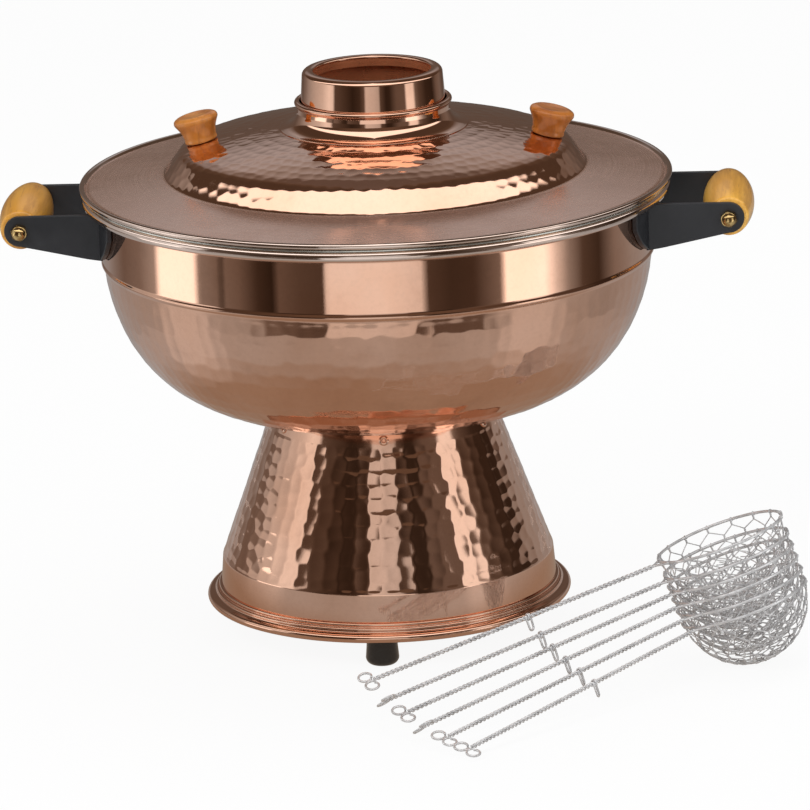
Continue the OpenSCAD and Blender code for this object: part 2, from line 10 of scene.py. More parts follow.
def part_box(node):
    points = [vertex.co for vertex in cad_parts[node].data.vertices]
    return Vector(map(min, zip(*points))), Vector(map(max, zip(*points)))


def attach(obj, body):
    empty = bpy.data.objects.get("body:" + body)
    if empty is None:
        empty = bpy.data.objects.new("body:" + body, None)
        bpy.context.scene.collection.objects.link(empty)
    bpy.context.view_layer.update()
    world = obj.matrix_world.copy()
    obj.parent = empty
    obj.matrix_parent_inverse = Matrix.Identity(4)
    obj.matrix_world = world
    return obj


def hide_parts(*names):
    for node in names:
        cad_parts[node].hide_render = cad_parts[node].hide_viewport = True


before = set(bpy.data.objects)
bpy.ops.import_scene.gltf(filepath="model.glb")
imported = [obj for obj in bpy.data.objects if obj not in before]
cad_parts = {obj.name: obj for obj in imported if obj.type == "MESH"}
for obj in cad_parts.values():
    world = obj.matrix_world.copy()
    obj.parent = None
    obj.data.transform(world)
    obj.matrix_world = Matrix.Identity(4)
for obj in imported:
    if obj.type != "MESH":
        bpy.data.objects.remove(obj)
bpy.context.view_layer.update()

MM = 0.001
TAU = 2 * math.pi
LEFT, RIGHT = -1, 1


# ---------- sizes in mm: the frame tells most of them
def span(node):
    lo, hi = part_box(node)
    return [v / MM for v in lo], [v / MM for v in hi]


cone_lo, cone_hi = span("pedestal_cone")
plate_lo, plate_hi = span("base_plate")
bowl_lo, bowl_hi = span("bowl_shell")
_, lining_hi = span("bowl_lining")
_, flue_hi = span("flue_tube")
lid_lo, lid_hi = span("lid_shell")
collar_lo, collar_hi = span("lid_collar")
grip_lo, grip_hi = span("right_grip")

sheet_t = 1.5
skirt_low_r = cone_hi[0]
skirt_z = cone_lo[2]
skirt_r = skirt_low_r - 1.3
cone_z = skirt_z + 15
cone_top_z = cone_hi[2]
flue_foot_r = flue_hi[0]
cone_top_r = flue_foot_r + 9.7
seat_z = bowl_lo[2]
foot_h = plate_lo[2]
base_r = plate_hi[0]
rim_roll_r = 3.0
rim_r = bowl_hi[0] - rim_roll_r
rim_z = bowl_hi[2] - rim_roll_r
bowl_r = bowl_hi[0] - 10
belly_h = 99.0
belly_top_z = seat_z + belly_h
bead_z = belly_top_z - 12
bead_half = 2.4
band_top_z = bead_z + 30.5
flue_top_z = flue_hi[2]
flue_taper = 0.0725
flue_top_r = flue_foot_r - (flue_top_z - seat_z) * flue_taper
flue_hole_r = 31.6
lid_r = lid_hi[0]
lid_roll_r = 1.6
lid_roll_z = lid_lo[2] + lid_roll_r
lid_t = 1.3
dome_foot_r = lid_r - 46
dome_foot_z = lid_roll_z + 5.6
shoulder_r = dome_foot_r - 9
shoulder_z = dome_foot_z + 13.2
collar_z = collar_lo[2] - 0.1
collar_top_z = collar_hi[2]
collar_foot_r = collar_hi[0]
dome_arc_r = 297.0
dome_cx = collar_foot_r - dome_arc_r * math.sin(math.radians(5))
dome_cz = collar_z - dome_arc_r * math.cos(math.radians(5))
knob_r = shoulder_r - 11.7
knob_tilt = math.asin((knob_r - dome_cx) / dome_arc_r)
knob_z = dome_cz + dome_arc_r * math.cos(knob_tilt)
knob_h = 15.0
grip_x = (grip_lo[0] + grip_hi[0]) / 2
grip_z = (grip_lo[2] + grip_hi[2]) / 2
grip_half = grip_hi[1]
arm_y = grip_half + 0.2
arm_t = 3.0
arm_top_z = grip_z + 8.3
arm_root_h = 25.5


# ---------- materials
class Nodes:
    """Short ways to add nodes to a material's or a world's tree."""

    def __init__(self, owner):
        self.owner = owner
        owner.use_nodes = True
        self.tree = owner.node_tree
        self.place = self.add("ShaderNodeTexCoord").outputs["Object"]

    def add(self, kind, links=None, **settings):
        node = self.tree.nodes.new(kind)
        for key, value in settings.items():
            setattr(node, key, value)
        for socket, value in (links or {}).items():
            if isinstance(value, bpy.types.NodeSocket):
                self.tree.links.new(value, node.inputs[socket])
            else:
                node.inputs[socket].default_value = value
        return node

    def surface(self, node):
        self.tree.links.new(node.outputs[0], self.tree.nodes["Material Output"].inputs["Surface"])

    def round_axis(self):
        """The sockets of x, y and z, and the distance from the Z axis."""
        parts = self.add("ShaderNodeSeparateXYZ", {0: self.place}).outputs
        squares = [self.maths("MULTIPLY", parts[k], parts[k]) for k in (0, 1)]
        return parts, self.maths("SQRT", self.maths("ADD", *squares))

    def stretched(self, x, y, z):
        return self.add("ShaderNodeMapping", {"Vector": self.place, "Scale": (x, y, z)}).outputs[0]

    def noise(self, scale, detail=3.0, vector=None, rough=0.5, distortion=0.0):
        return self.add("ShaderNodeTexNoise", {
            "Vector": vector or self.place, "Scale": scale, "Detail": detail,
            "Roughness": rough, "Distortion": distortion}).outputs["Fac"]

    def ramp(self, factor, stops):
        ramp = self.add("ShaderNodeValToRGB", {"Fac": factor})
        elements = ramp.color_ramp.elements
        while len(elements) < len(stops):
            elements.new(0.5)
        for element, (at, colour) in zip(elements, stops):
            element.position = at
            element.color = (*colour, 1)
        return ramp.outputs["Color"]

    def between(self, factor, low, high, start=0.3, end=0.7):
        return self.add("ShaderNodeMapRange", {
            "Value": factor, "From Min": start, "From Max": end, "To Min": low, "To Max": high}).outputs[0]

    def maths(self, operation, a, b=0.0):
        return self.add("ShaderNodeMath", {0: a, 1: b}, operation=operation).outputs[0]

    def blend(self, factor, a, b, mode="MIX"):
        node = self.add("ShaderNodeMix", data_type="RGBA", blend_type=mode)
        for index, value in ((0, factor), (6, a), (7, b)):
            if isinstance(value, bpy.types.NodeSocket):
                self.tree.links.new(value, node.inputs[index])
            else:
                node.inputs[index].default_value = value if index == 0 else (*value, 1)
        return node.outputs[2]

    def bump(self, height, distance, strength=1.0, normal=None):
        node = self.add("ShaderNodeBump", {"Height": height, "Distance": distance, "Strength": strength})
        if normal:
            self.tree.links.new(normal, node.inputs["Normal"])
        return node.outputs[0]


class Shader(Nodes):
    """A Principled material that is built up from procedural nodes."""

    def __init__(self, name, **sockets):
        super().__init__(bpy.data.materials.new(name))
        self.bsdf = self.tree.nodes["Principled BSDF"]
        for socket, value in sockets.items():
            self.bsdf.inputs[socket.replace("_", " ")].default_value = value

    def feed(self, socket, output):
        self.tree.links.new(output, self.bsdf.inputs[socket])


def dim(colour, share):
    return tuple(share * c for c in colour)


def copper(name, tones, rough, spin=0.00001, grain=0.000006, tarnish=0.25, metal=1.0):
    """Bare copper: soft colour patches, turning lines round the axis, wiped smudges and fine pitting."""
    s = Shader(name, Metallic=metal)
    dark, mid, light = tones
    patches = s.noise(14, 4, rough=0.55, distortion=0.4)
    colour = s.ramp(patches, [(0.30, dark), (0.50, mid), (0.72, light)])
    specks = s.noise(420, 2)
    stain = s.between(s.noise(38, 5, rough=0.65), 0.0, tarnish, 0.56, 0.80)
    colour = s.blend(stain, colour, dim(dark, 0.55))
    colour = s.blend(s.between(specks, 0.0, 0.10, 0.45, 0.75), colour, dim(mid, 0.6))
    s.feed("Base Color", colour)
    parts, radius = s.round_axis()
    rings = s.add("ShaderNodeCombineXYZ", {0: radius, 1: parts[2]}).outputs[0]
    turned = s.noise(1500, 2, vector=rings)
    smudge = s.noise(55, 5, rough=0.6, distortion=0.8)
    low, high = rough
    rough_map = s.maths("ADD", s.between(smudge, low, high, 0.35, 0.72),
                        s.between(turned, -0.12 * low, 0.25 * low, 0.3, 0.7))
    s.feed("Roughness", rough_map)
    s.feed("Normal", s.bump(s.noise(900, 2), grain, normal=s.bump(turned, spin)))
    return s.owner


def silver(name, base, rough, scale=260, bump=0.000008, metal=1.0):
    """Drawn or sheet metal with a faint grain and dull patches."""
    s = Shader(name, Metallic=metal)
    wear = s.noise(scale * 0.25, 4)
    s.feed("Base Color", s.ramp(wear, [(0.3, dim(base, 0.72)), (0.6, base)]))
    s.feed("Roughness", s.between(s.noise(scale * 0.4, 4), rough[0], rough[1]))
    s.feed("Normal", s.bump(s.noise(scale * 6, 3), bump))
    return s.owner


def lacquered_wood(name, along, tones):
    """Close-grained wood under clear lacquer, with its grain along one axis."""
    s = Shader(name, Coat_Weight=0.6, Coat_Roughness=0.07, IOR=1.5)
    scale = [150.0, 150.0, 150.0]
    scale["xyz".index(along)] = 9.0
    fibre = s.noise(1.0, 5, vector=s.stretched(*scale), rough=0.62, distortion=0.25)
    broad = [26.0, 26.0, 26.0]
    broad["xyz".index(along)] = 3.0
    bands = s.noise(1.0, 2, vector=s.stretched(*broad), distortion=1.2)
    base = s.ramp(bands, list(zip((0.30, 0.50, 0.68), tones)))
    lines = s.ramp(fibre, [(0.36, (0.62, 0.54, 0.46)), (0.56, (1.0, 1.0, 1.0))])
    colour = s.blend(0.75, base, lines, "MULTIPLY")
    pores = s.noise(1.0, 2, vector=s.stretched(*[v * 5 if v > 100 else v * 3 for v in scale]))
    colour = s.blend(s.between(pores, 0.0, 0.45, 0.62, 0.76), colour, (0.25, 0.10, 0.03))
    s.feed("Base Color", colour)
    s.feed("Roughness", s.between(fibre, 0.42, 0.30))
    s.feed("Normal", s.bump(fibre, 0.00003, 0.6))
    return s.owner


def powder_coat(name):
    """Black baked coating with a fine orange-peel skin and rubbed patches."""
    s = Shader(name, IOR=1.5)
    rub = s.noise(45, 5, rough=0.6)
    s.feed("Base Color", s.ramp(rub, [(0.35, (0.019, 0.020, 0.023)), (0.60, (0.026, 0.027, 0.031)),
                                      (0.78, (0.040, 0.041, 0.046))]))
    peel = s.noise(1300, 2)
    s.feed("Roughness", s.between(rub, 0.30, 0.44))
    s.feed("Normal", s.bump(peel, 0.00002, 0.8))
    return s.owner


def moulded_rubber(name):
    """Glossy black rubber with dust in its skin."""
    s = Shader(name, IOR=1.52, Coat_Weight=1.0, Coat_Roughness=0.03)
    dust = s.noise(700, 4)
    s.feed("Base Color", s.ramp(dust, [(0.45, (0.004, 0.004, 0.005)), (0.80, (0.012, 0.012, 0.011))]))
    s.feed("Roughness", s.between(s.noise(90, 4), 0.05, 0.12))
    s.feed("Normal", s.bump(s.noise(500, 3), 0.000003))
    return s.owner


def fibre_wool(name):
    """White mineral wool that soaks up the fuel."""
    s = Shader(name, Roughness=0.95)
    tuft = s.noise(260, 6, rough=0.7)
    s.feed("Base Color", s.ramp(tuft, [(0.3, (0.55, 0.52, 0.47)), (0.6, (0.82, 0.80, 0.76))]))
    s.feed("Normal", s.bump(tuft, 0.0008))
    return s.owner


POLISHED = ((0.88, 0.505, 0.345), (0.93, 0.565, 0.405), (0.95, 0.600, 0.445))
SATIN = ((0.85, 0.490, 0.335), (0.92, 0.555, 0.395), (0.94, 0.585, 0.430))
FLANGE = ((0.82, 0.530, 0.410), (0.89, 0.590, 0.465), (0.92, 0.630, 0.505))
EDGE = ((0.88, 0.68, 0.57), (0.93, 0.74, 0.64), (0.95, 0.78, 0.69))
DEEP = ((0.50, 0.165, 0.072), (0.60, 0.212, 0.095), (0.69, 0.270, 0.134))
mat_polished = copper("copper_polished", POLISHED, (0.025, 0.06), spin=0.0000015, grain=0.000003)
mat_hammered = copper("copper_hammered", POLISHED, (0.04, 0.09), spin=0.000002, grain=0.000005, tarnish=0.3)
mat_belly = copper("copper_belly", SATIN, (0.075, 0.13), spin=0.000002, grain=0.000005)
mat_lid = copper("copper_lid", FLANGE, (0.22, 0.28), spin=0.000002, grain=0.000001, tarnish=0.12,
                 metal=0.87)
mat_edge = copper("copper_pale_edge", EDGE, (0.05, 0.10), spin=0.000001, grain=0.000003)
mat_deep = copper("copper_inside", DEEP, (0.22, 0.38), tarnish=0.5, metal=0.55)
mat_tin = silver("tin_lining", (0.86, 0.87, 0.81), (0.16, 0.26), bump=0.000003)
mat_steel = silver("plain_steel", (0.56, 0.56, 0.57), (0.28, 0.42))
mat_wire = silver("bright_wire", (0.90, 0.90, 0.91), (0.14, 0.30), 500, metal=0.6)
mat_brass = silver("yellow_brass", (0.80, 0.56, 0.24), (0.12, 0.24), 400)
GRIP_WOOD = ((0.66, 0.300, 0.033), (0.82, 0.410, 0.055), (0.92, 0.520, 0.090))
KNOB_WOOD = ((0.42, 0.120, 0.015), (0.56, 0.190, 0.026), (0.68, 0.280, 0.055))
mat_grip = lacquered_wood("wood_grip", "y", GRIP_WOOD)
mat_knob = lacquered_wood("wood_knob", "z", KNOB_WOOD)
# Painted shade: the inside copper dimmed to 12 percent, put into the hollow rivets' holes in place of their
# shadow.
mat_hole_painted_shade = copper("copper_dark_hole", tuple(dim(tone, 0.12) for tone in DEEP), (0.4, 0.6), metal=0.4)
mat_black = powder_coat("black_coating")
mat_rubber = moulded_rubber("foot_rubber")
mat_wool = fibre_wool("burner_wool")


# ---------- mesh helpers
def piece(name, vertices, faces, material, body, replaced=(), sharp=None):
    """Makes a smooth-shaded object from points in mm and puts it on its body."""
    mesh = bpy.data.meshes.new(name)
    points = np.asarray(vertices, dtype=float) * MM
    mesh.from_pydata(points.tolist(), [], [list(map(int, f)) for f in faces])
    mesh.validate()
    for m in material if isinstance(material, (list, tuple)) else [material]:
        mesh.materials.append(m)
    mesh.shade_smooth()
    if sharp:
        mesh.set_sharp_from_angle(angle=math.radians(sharp))
    obj = bpy.data.objects.new(name, mesh)
    bpy.context.scene.collection.objects.link(obj)
    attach(obj, body)
    if replaced:
        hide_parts(*replaced)
    return obj


def rework(mesh, change):
    """Runs one bmesh operation on a mesh."""
    work = bmesh.new()
    work.from_mesh(mesh)
    change(work)
    work.to_mesh(mesh)
    work.free()


def at(x, y, z):
    return Matrix.Translation(Vector((x, y, z)) * MM)


def moved(points, place):
    return [tuple(place @ Vector(p)) for p in points]


def joined(parts):
    """One list of points and one of faces from several such pairs."""
    points, faces = [], []
    for p, f in parts:
        faces += [[v + len(points) for v in face] for face in f]
        points += list(p)
    return points, faces


def bands(rows, columns, closed=False):
    """The quads between rings of points, row after row."""
    return [(i * columns + j, i * columns + (j + 1) % columns,
             (i + 1) % rows * columns + (j + 1) % columns, (i + 1) % rows * columns + j)
            for i in range(rows if closed else rows - 1) for j in range(columns)]


def rounded(points, closed=True, steps=4):
    """Softens each corner that carries a third number, its radius, with a short curve."""
    out = []
    count = len(points)
    for i, point in enumerate(points):
        corner = Vector(point[:2])
        size = point[2] if len(point) > 2 else 0
        if not size or (not closed and i in (0, count - 1)):
            out.append(tuple(corner))
            continue
        before = Vector(points[i - 1][:2]) - corner
        after = Vector(points[(i + 1) % count][:2]) - corner
        cut = min(size, 0.45 * before.length, 0.45 * after.length)
        start = corner + before.normalized() * cut
        end = corner + after.normalized() * cut
        for k in range(steps + 1):
            t = k / steps
            out.append(tuple((1 - t) ** 2 * start + 2 * t * (1 - t) * corner + t * t * end))
    return out


def arc(cx, cy, r, start, end, steps):
    angles = [math.radians(start + (end - start) * i / steps) for i in range(steps + 1)]
    return [(cx + r * math.cos(a), cy + r * math.sin(a)) for a in angles]


def fine(points, step):
    """Adds points so that none are further apart than step."""
    out = [points[0]]
    for a, b in zip(points, points[1:]):
        parts = max(1, math.ceil(math.dist(a, b) / step))
        out += [tuple(a[k] + (b[k] - a[k]) * i / parts for k in (0, 1)) for i in range(1, parts + 1)]
    return out


def held(points, long=2.6, gap=0.35):
    """Adds a point close to each bent end of a long stretch, so that smooth shading stays at the bend."""
    along = np.roll(points, -1, axis=0) - points
    length = np.linalg.norm(along, axis=1)
    along = along / length[:, None]
    bent = (along * np.roll(along, 1, axis=0)).sum(axis=1) < math.cos(math.radians(2))
    out = []
    for i, point in enumerate(points):
        out.append(point)
        if length[i] > long and point[0] > 0 and points[(i + 1) % len(points)][0] > 0:
            if bent[i]:
                out.append(point + along[i] * gap)
            if bent[(i + 1) % len(points)]:
                out.append(point + along[i] * (length[i] - gap))
    return np.array(out)


def turned_grid(profile, segments, relief=None):
    """Points and faces of a closed profile turned round Z. relief shifts them along their normals."""
    p = np.array(profile)
    keep = np.linalg.norm(p - np.roll(p, 1, axis=0), axis=1) > 1e-4
    p = held(p[keep])
    tangent = np.roll(p, -1, axis=0) - np.roll(p, 1, axis=0)
    tangent /= np.linalg.norm(tangent, axis=1)[:, None]
    normal = np.stack([tangent[:, 1], -tangent[:, 0]], axis=1)
    theta = np.arange(segments) * TAU / segments
    r = np.repeat(p[:, :1], segments, axis=1)
    z = np.repeat(p[:, 1:], segments, axis=1)
    if relief:
        along = np.concatenate([[0], np.cumsum(np.linalg.norm(np.diff(p, axis=0), axis=1))])
        grids = np.meshgrid(along, theta, indexing="ij")
        shift = relief(grids[1], grids[0], r, z, normal[:, :1], normal[:, 1:])
        r = r + shift * normal[:, :1]
        z = z + shift * normal[:, 1:]
    points = np.stack([r * np.cos(theta), r * np.sin(theta), z], axis=2).reshape(-1, 3)
    return points, bands(len(p), segments, closed=True)


def lathe(name, profile, segments, material, body, replaced=(), relief=None, place=None,
          inside=None):
    """A turned piece. inside says, by r and z, which of the materials a place of the profile takes."""
    points, faces = turned_grid(profile, segments, relief)
    mesh = piece(name, points, faces, material, body, replaced).data
    if inside:
        marks = [int(inside(math.hypot(*points[f[0]][:2]), points[f[0]][2])) for f in faces]
        mesh.polygons.foreach_set("material_index", np.array(marks, dtype=np.int32))
    if min(np.hypot(points[:, 0], points[:, 1])) < 1e-3:
        rework(mesh, lambda work: bmesh.ops.remove_doubles(work, verts=work.verts, dist=1e-6))
        mesh.shade_smooth()
    if place is not None:
        mesh.transform(place)


def hammer(columns, row, depth, seed, where, jitter=0.15, stagger=0.0, soft=0.03):
    """Overlapping shallow dents in rows, deepest at their middles; where says how strong they are."""
    def relief(theta, along, r, z, nr, nz):
        rand = np.random.default_rng(seed)
        u = theta / TAU * columns
        v = along / row
        rows = int(v.max()) + 3
        ju = rand.uniform(-jitter, jitter, (rows, columns))
        jv = rand.uniform(-jitter, jitter, (rows, columns))
        jd = rand.uniform(0.55, 1.1, (rows, columns))
        cell = TAU * r / columns
        reach = 0.25 * (cell ** 2 + row ** 2)
        total = np.zeros_like(u)
        base = np.floor(v).astype(int)
        for dv in (-1, 0, 1):
            line = np.clip(base + dv, 0, rows - 1)
            slide = stagger * 0.5 * (line % 2)
            first = np.floor(u - slide).astype(int)
            for du in (-1, 0, 1):
                column = (first + du) % columns
                cu = first + du + 0.5 + slide + ju[line, column]
                cv = line + 0.5 + jv[line, column]
                d2 = ((u - cu) * cell) ** 2 + ((v - cv) * row) ** 2
                total += np.exp((jd[line, column] - d2 / reach) * depth / soft)
        dent = soft * np.log(total)
        return -np.maximum(dent, 0) * where(r, z, nr, nz)
    return relief


def step(x, start, end):
    """Rises smoothly from 0 at start to 1 at end."""
    t = np.clip((x - start) / (end - start), 0, 1)
    return t * t * (3 - 2 * t)


# ---------- pedestal
def cone_r(z):
    return skirt_r + (cone_top_r - skirt_r) * (z - cone_z) / (seat_z - cone_z)


cone_profile = fine([(skirt_low_r, skirt_z), (skirt_r, cone_z - 0.2)], 3)
cone_profile += fine([(skirt_r - 0.1, cone_z + 0.2), (cone_r(cone_top_z - 6.4), cone_top_z - 6.4)], 0.9)
cone_profile += [(cone_r(cone_top_z - 6.1), cone_top_z - 6.1), (cone_r(cone_top_z), cone_top_z)]
cone_profile += [(cone_r(cone_top_z) - sheet_t, cone_top_z)]
cone_profile += fine([(skirt_r - sheet_t, cone_z), (skirt_low_r - sheet_t, skirt_z)], 6)


def cone_dents(r, z, nr, nz):
    outside = nr > 0.3
    return outside * step(z, cone_z + 0.6, cone_z + 2.5) * step(-z, 6.3 - cone_top_z, 7.0 - cone_top_z)


lathe("pedestal_hammered", cone_profile, 560, mat_hammered, "stand", ["pedestal_cone"],
      hammer(columns=65, row=7.3, depth=0.35, seed=11, where=cone_dents, jitter=0.2, stagger=0.3))

roll_r = 2.2
roll_x = base_r - roll_r
roll_z = foot_h + roll_r
bead_x = skirt_low_r + 1.4
up_r = skirt_low_r - sheet_t - 0.1
flange_r = base_r - 33.6
base_profile = [(flange_r, foot_h)] + arc(roll_x, roll_z, roll_r, -90, 90, 20)
base_profile += rounded([(roll_x, roll_z + roll_r), (roll_x - 1.6, roll_z + roll_r + 0.3, 0.5),
                         (bead_x + 1.4, roll_z + 3.2)], closed=False)[1:-1]
base_profile += arc(bead_x + 0.7, roll_z + 3.9, 1, -45, 135, 14)
base_profile += arc(bead_x - 0.9, skirt_z - 1.3, 1, -45, 90, 12)
base_profile += [(up_r, skirt_z - 0.3), (up_r, skirt_z), (skirt_r - sheet_t - 0.1, cone_z - 2),
                 (skirt_r - 2 * sheet_t - 0.1, cone_z - 2), (up_r - sheet_t, skirt_z),
                 (up_r - sheet_t, skirt_z - 2), (bead_x - 1, roll_z + 2.9), (roll_x - 1.6, roll_z + 0.8),
                 (roll_x - 1.6, foot_h + sheet_t), (flange_r, foot_h + sheet_t)]
lathe("base_turned", base_profile, 300, mat_polished, "stand", ["base_plate"])

for foot in ("front_foot", "left_foot", "right_foot"):
    lo, hi = span(foot)
    r = (hi[0] - lo[0]) / 2
    centre = at((lo[0] + hi[0]) / 2, (lo[1] + hi[1]) / 2, 0)
    crown = 4.0
    profile = [(0, 0)] + arc(r - crown, crown, crown, -90, -2, 14)
    profile += rounded([(r, crown), (r - 0.5, foot_h * 0.6, 1.5), (r - 0.8, foot_h - 0.8, 0.5),
                        (r - 1.4, foot_h, 0.3), (0, foot_h)], closed=False)[1:]
    lathe(foot.replace("_foot", "_rubber_foot"), profile, 64, mat_rubber, "stand", [foot],
          place=centre)

rivet_z = seat_z - 3.2
slope = math.atan((skirt_r - cone_top_r) / (seat_z - cone_z))
rivet_profile = rounded([(0.02, -1.4), (2.3, -1.4), (2.3, -0.1), (2.75, -0.1, 0.3), (2.75, 0.35, 0.5),
                         (2.0, 0.95, 0.5), (1.25, 0.95, 0.4), (0.95, 0.5), (0.9, -0.2), (0.02, -0.3)])
rivet_points, rivet_faces = turned_grid(rivet_profile, 32)
rivet_count, first_rivet = 6, -87
turns = [Matrix.Rotation(math.radians(first_rivet + 360 / rivet_count * i), 4, "Z")
         @ Matrix.Translation((cone_r(rivet_z), 0, rivet_z)) @ Matrix.Rotation(math.pi / 2 - slope, 4, "Y")
         for i in range(rivet_count)]
points, faces = joined([(moved(rivet_points, turn), rivet_faces) for turn in turns])
rivets = piece("seat_hollow_rivets", points, faces, [mat_polished, mat_hole_painted_shade], "stand",
               ["seat_rivets"], sharp=50)
# The faces inside the rivet holes take the dimmed copper, which is painted shade for the holes.
hole_painted_shade_faces = [max(math.hypot(*rivet_points[v][:2]) for v in face) < 1.0 for face in rivet_faces] * rivet_count
rivets.data.polygons.foreach_set("material_index", np.array(hole_painted_shade_faces, dtype=np.int32))


# ---------- bowl
def belly(r, h, low_r, high_z, steps):
    low = math.asin((low_r / r) ** (3.73 / 2))
    high = math.acos(((belly_top_z - high_z) / h) ** (2.1 / 2))
    angles = [low + (high - low) * i / steps for i in range(steps + 1)]
    return [(r * math.sin(a) ** (2 / 3.73), belly_top_z - h * math.cos(a) ** (2 / 2.1)) for a in angles]


land_r = cone_top_r + 1
hole_r = flue_foot_r + 0.1
bowl_profile = [(hole_r, seat_z), (land_r, seat_z)]
bowl_profile += fine(belly(bowl_r, belly_h, land_r + 3, bead_z - bead_half, 60), 1.8)
under_r = bowl_profile[-1][0]
for i in range(1, 17):
    t = i / 8 - 1
    swell = 1.1 * math.cos(0.5 * math.pi * t) ** 2
    bowl_profile.append((under_r + (bowl_r - under_r) * (t + 1) / 2 + swell, bead_z + bead_half * t))
bowl_profile += [(bowl_r, z) for z in (bead_z + bead_half + 0.3, bead_z + bead_half + 0.8, band_top_z - 3)]
bowl_profile += rounded([(bowl_r, band_top_z - 2.8), (bowl_r, band_top_z, 2.5),
                         (bowl_r + 2.6, rim_z - 1.6, 1.0), (rim_r - 1.4, rim_z - rim_roll_r + 0.3)],
                        closed=False, steps=6)
bowl_profile += arc(rim_r, rim_z, rim_roll_r, -110, 140, 26)
bowl_profile += [(bowl_r - sheet_t + 0.8, rim_z + 1.2), (bowl_r - sheet_t, band_top_z)]
bowl_profile += belly(bowl_r - sheet_t, belly_h - sheet_t, land_r, bead_z, 40)[::-1]
bowl_profile += [(land_r - 2, seat_z + sheet_t), (hole_r, seat_z + sheet_t)]


def belly_dents(r, z, nr, nz):
    outside = (nr > -0.2) * (r > land_r + 4) * (nz < 0.4)
    return outside * step(z, seat_z + 2, seat_z + 10) * step(-z, 2.2 - bead_z, 6.2 - bead_z)


def bowl_finish(r, z):
    """The rim's roll is pale and the belly satin."""
    return 2 if r > rim_r - 1.2 and z > rim_z - 2.9 else z < bead_z - bead_half


lathe("bowl_hammered", bowl_profile, 560, [mat_polished, mat_belly, mat_edge], "pot",
      ["bowl_shell"], inside=bowl_finish,
      relief=hammer(columns=104, row=8.4, depth=0.30, seed=23, where=belly_dents, jitter=0.2, soft=0.04))

lining_t = 1.0
lining_r = bowl_r - sheet_t - 0.1
low_z = seat_z + sheet_t + 0.1
tin_top = lining_hi[2]
lining_profile = [(hole_r, low_z), (land_r - 2, low_z)]
lining_profile += belly(lining_r, belly_h - sheet_t - 0.1, land_r, bead_z, 40)
lining_profile += rounded([(lining_r, bead_z + 2), (lining_r, band_top_z, 1),
                           (lining_r + 1.6, tin_top - 1, 0.6),
                           (lining_hi[0], tin_top - 1, 0.45), (lining_hi[0], tin_top, 0.45),
                           (lining_r, tin_top, 0.8), (lining_r - lining_t, band_top_z, 1),
                           (lining_r - lining_t, bead_z + 2)], closed=False)
lining_profile += belly(lining_r - lining_t, belly_h - sheet_t - 0.1 - lining_t, land_r, bead_z, 40)[::-1]
lining_profile += [(land_r - 2, low_z + lining_t), (hole_r, low_z + lining_t)]
lathe("bowl_tinned", lining_profile, 300, mat_tin, "pot", ["bowl_lining"])


def flue_r(z):
    return flue_top_r + (flue_top_z - z) * flue_taper


lip = 3.0
flue_slope = math.degrees(math.atan(flue_taper))
neck_r = flue_r(flue_top_z - lip)
lip_cx = neck_r - lip / math.cos(math.radians(flue_slope))
flue_profile = fine([(flue_r(seat_z), seat_z), (neck_r, flue_top_z - lip)], 8)
flue_profile += arc(lip_cx, flue_top_z - lip, lip, flue_slope, 90, 12)
flue_profile += arc(flue_hole_r + 1.4, flue_top_z - 1.4, 1.4, 90, 180, 8)
flue_profile += [(flue_hole_r, flue_top_z - 6), (flue_hole_r + 1.2, flue_top_z - 6),
                 (flue_hole_r + 1.2, flue_top_z - 3), (neck_r - sheet_t, flue_top_z - 3.4)]
flue_profile += fine([(neck_r - sheet_t, flue_top_z - 8), (flue_r(seat_z) - sheet_t, seat_z)], 8)
lathe("flue_turned", flue_profile, 220, [mat_polished, mat_deep], "pot", ["flue_tube"],
      inside=lambda r, z: r < flue_r(z) - 0.8 and z < flue_top_z - 1.6)


# ---------- lid
roll_cx = lid_r - lid_roll_r
dome_end = math.degrees(math.asin((shoulder_r - dome_cx) / dome_arc_r))
lid_hole_r = flue_r(shoulder_z) + 1.3
top = [(dome_cx + dome_arc_r * math.sin(a), dome_cz + dome_arc_r * math.cos(a))
       for a in np.radians(np.linspace(dome_end, 5, 40))]
under = [(dome_cx + (dome_arc_r - lid_t) * math.sin(a), dome_cz + (dome_arc_r - lid_t) * math.cos(a))
         for a in np.radians(np.linspace(5, dome_end, 14))]
lid_profile = [(lid_hole_r, collar_z + 0.3 - lid_t)] + under
lid_profile += [(dome_foot_r - lid_t, dome_foot_z - lid_t), (roll_cx - 2, lid_roll_z - 1.0)]
lid_profile += arc(roll_cx, lid_roll_z, lid_roll_r - 0.02, -110, 150, 22)
lid_profile += rounded([(roll_cx - 1.5, lid_roll_z + 0.5), (roll_cx - 2.3, lid_roll_z - 0.35, 0.5),
                        (roll_cx - 3.6, lid_roll_z + 0.55, 0.8), (dome_foot_r + 6, dome_foot_z - 0.7)],
                       closed=False)[1:-1]
lid_profile += fine(rounded([(roll_cx - 5, lid_roll_z + 0.7), (dome_foot_r, dome_foot_z, 1.6),
                             (shoulder_r + 0.2, shoulder_z - 0.5, 5.0), top[6]],
                            closed=False, steps=6), 0.9)[:-1]
lid_profile += fine(top[6:], 1.15)
lid_profile += [(lid_hole_r, collar_z + 0.3)]


def dome_dents(r, z, nr, nz):
    upper = nz > 0.05
    side = step(-r, -dome_foot_r - 0.6, -dome_foot_r + 1.2) * step(r, shoulder_r - 3, shoulder_r - 1)
    crown = step(-r, 1 - shoulder_r, 3 - shoulder_r) * step(r, collar_foot_r - 1, collar_foot_r + 3)
    return upper * (side * 0.9 + crown * 0.60)


def lid_finish(r, z):
    """The rolled edge is pale and the dome polished."""
    return 2 if r > roll_cx - 1.7 else (z > dome_foot_z - 0.5 and r < dome_foot_r + 0.6)


lathe("lid_hammered", lid_profile, 600, [mat_lid, mat_hammered, mat_edge], "lid", ["lid_shell"],
      hammer(columns=84, row=7.6, depth=0.36, seed=31, where=dome_dents, jitter=0.13, stagger=1.0),
      inside=lid_finish)

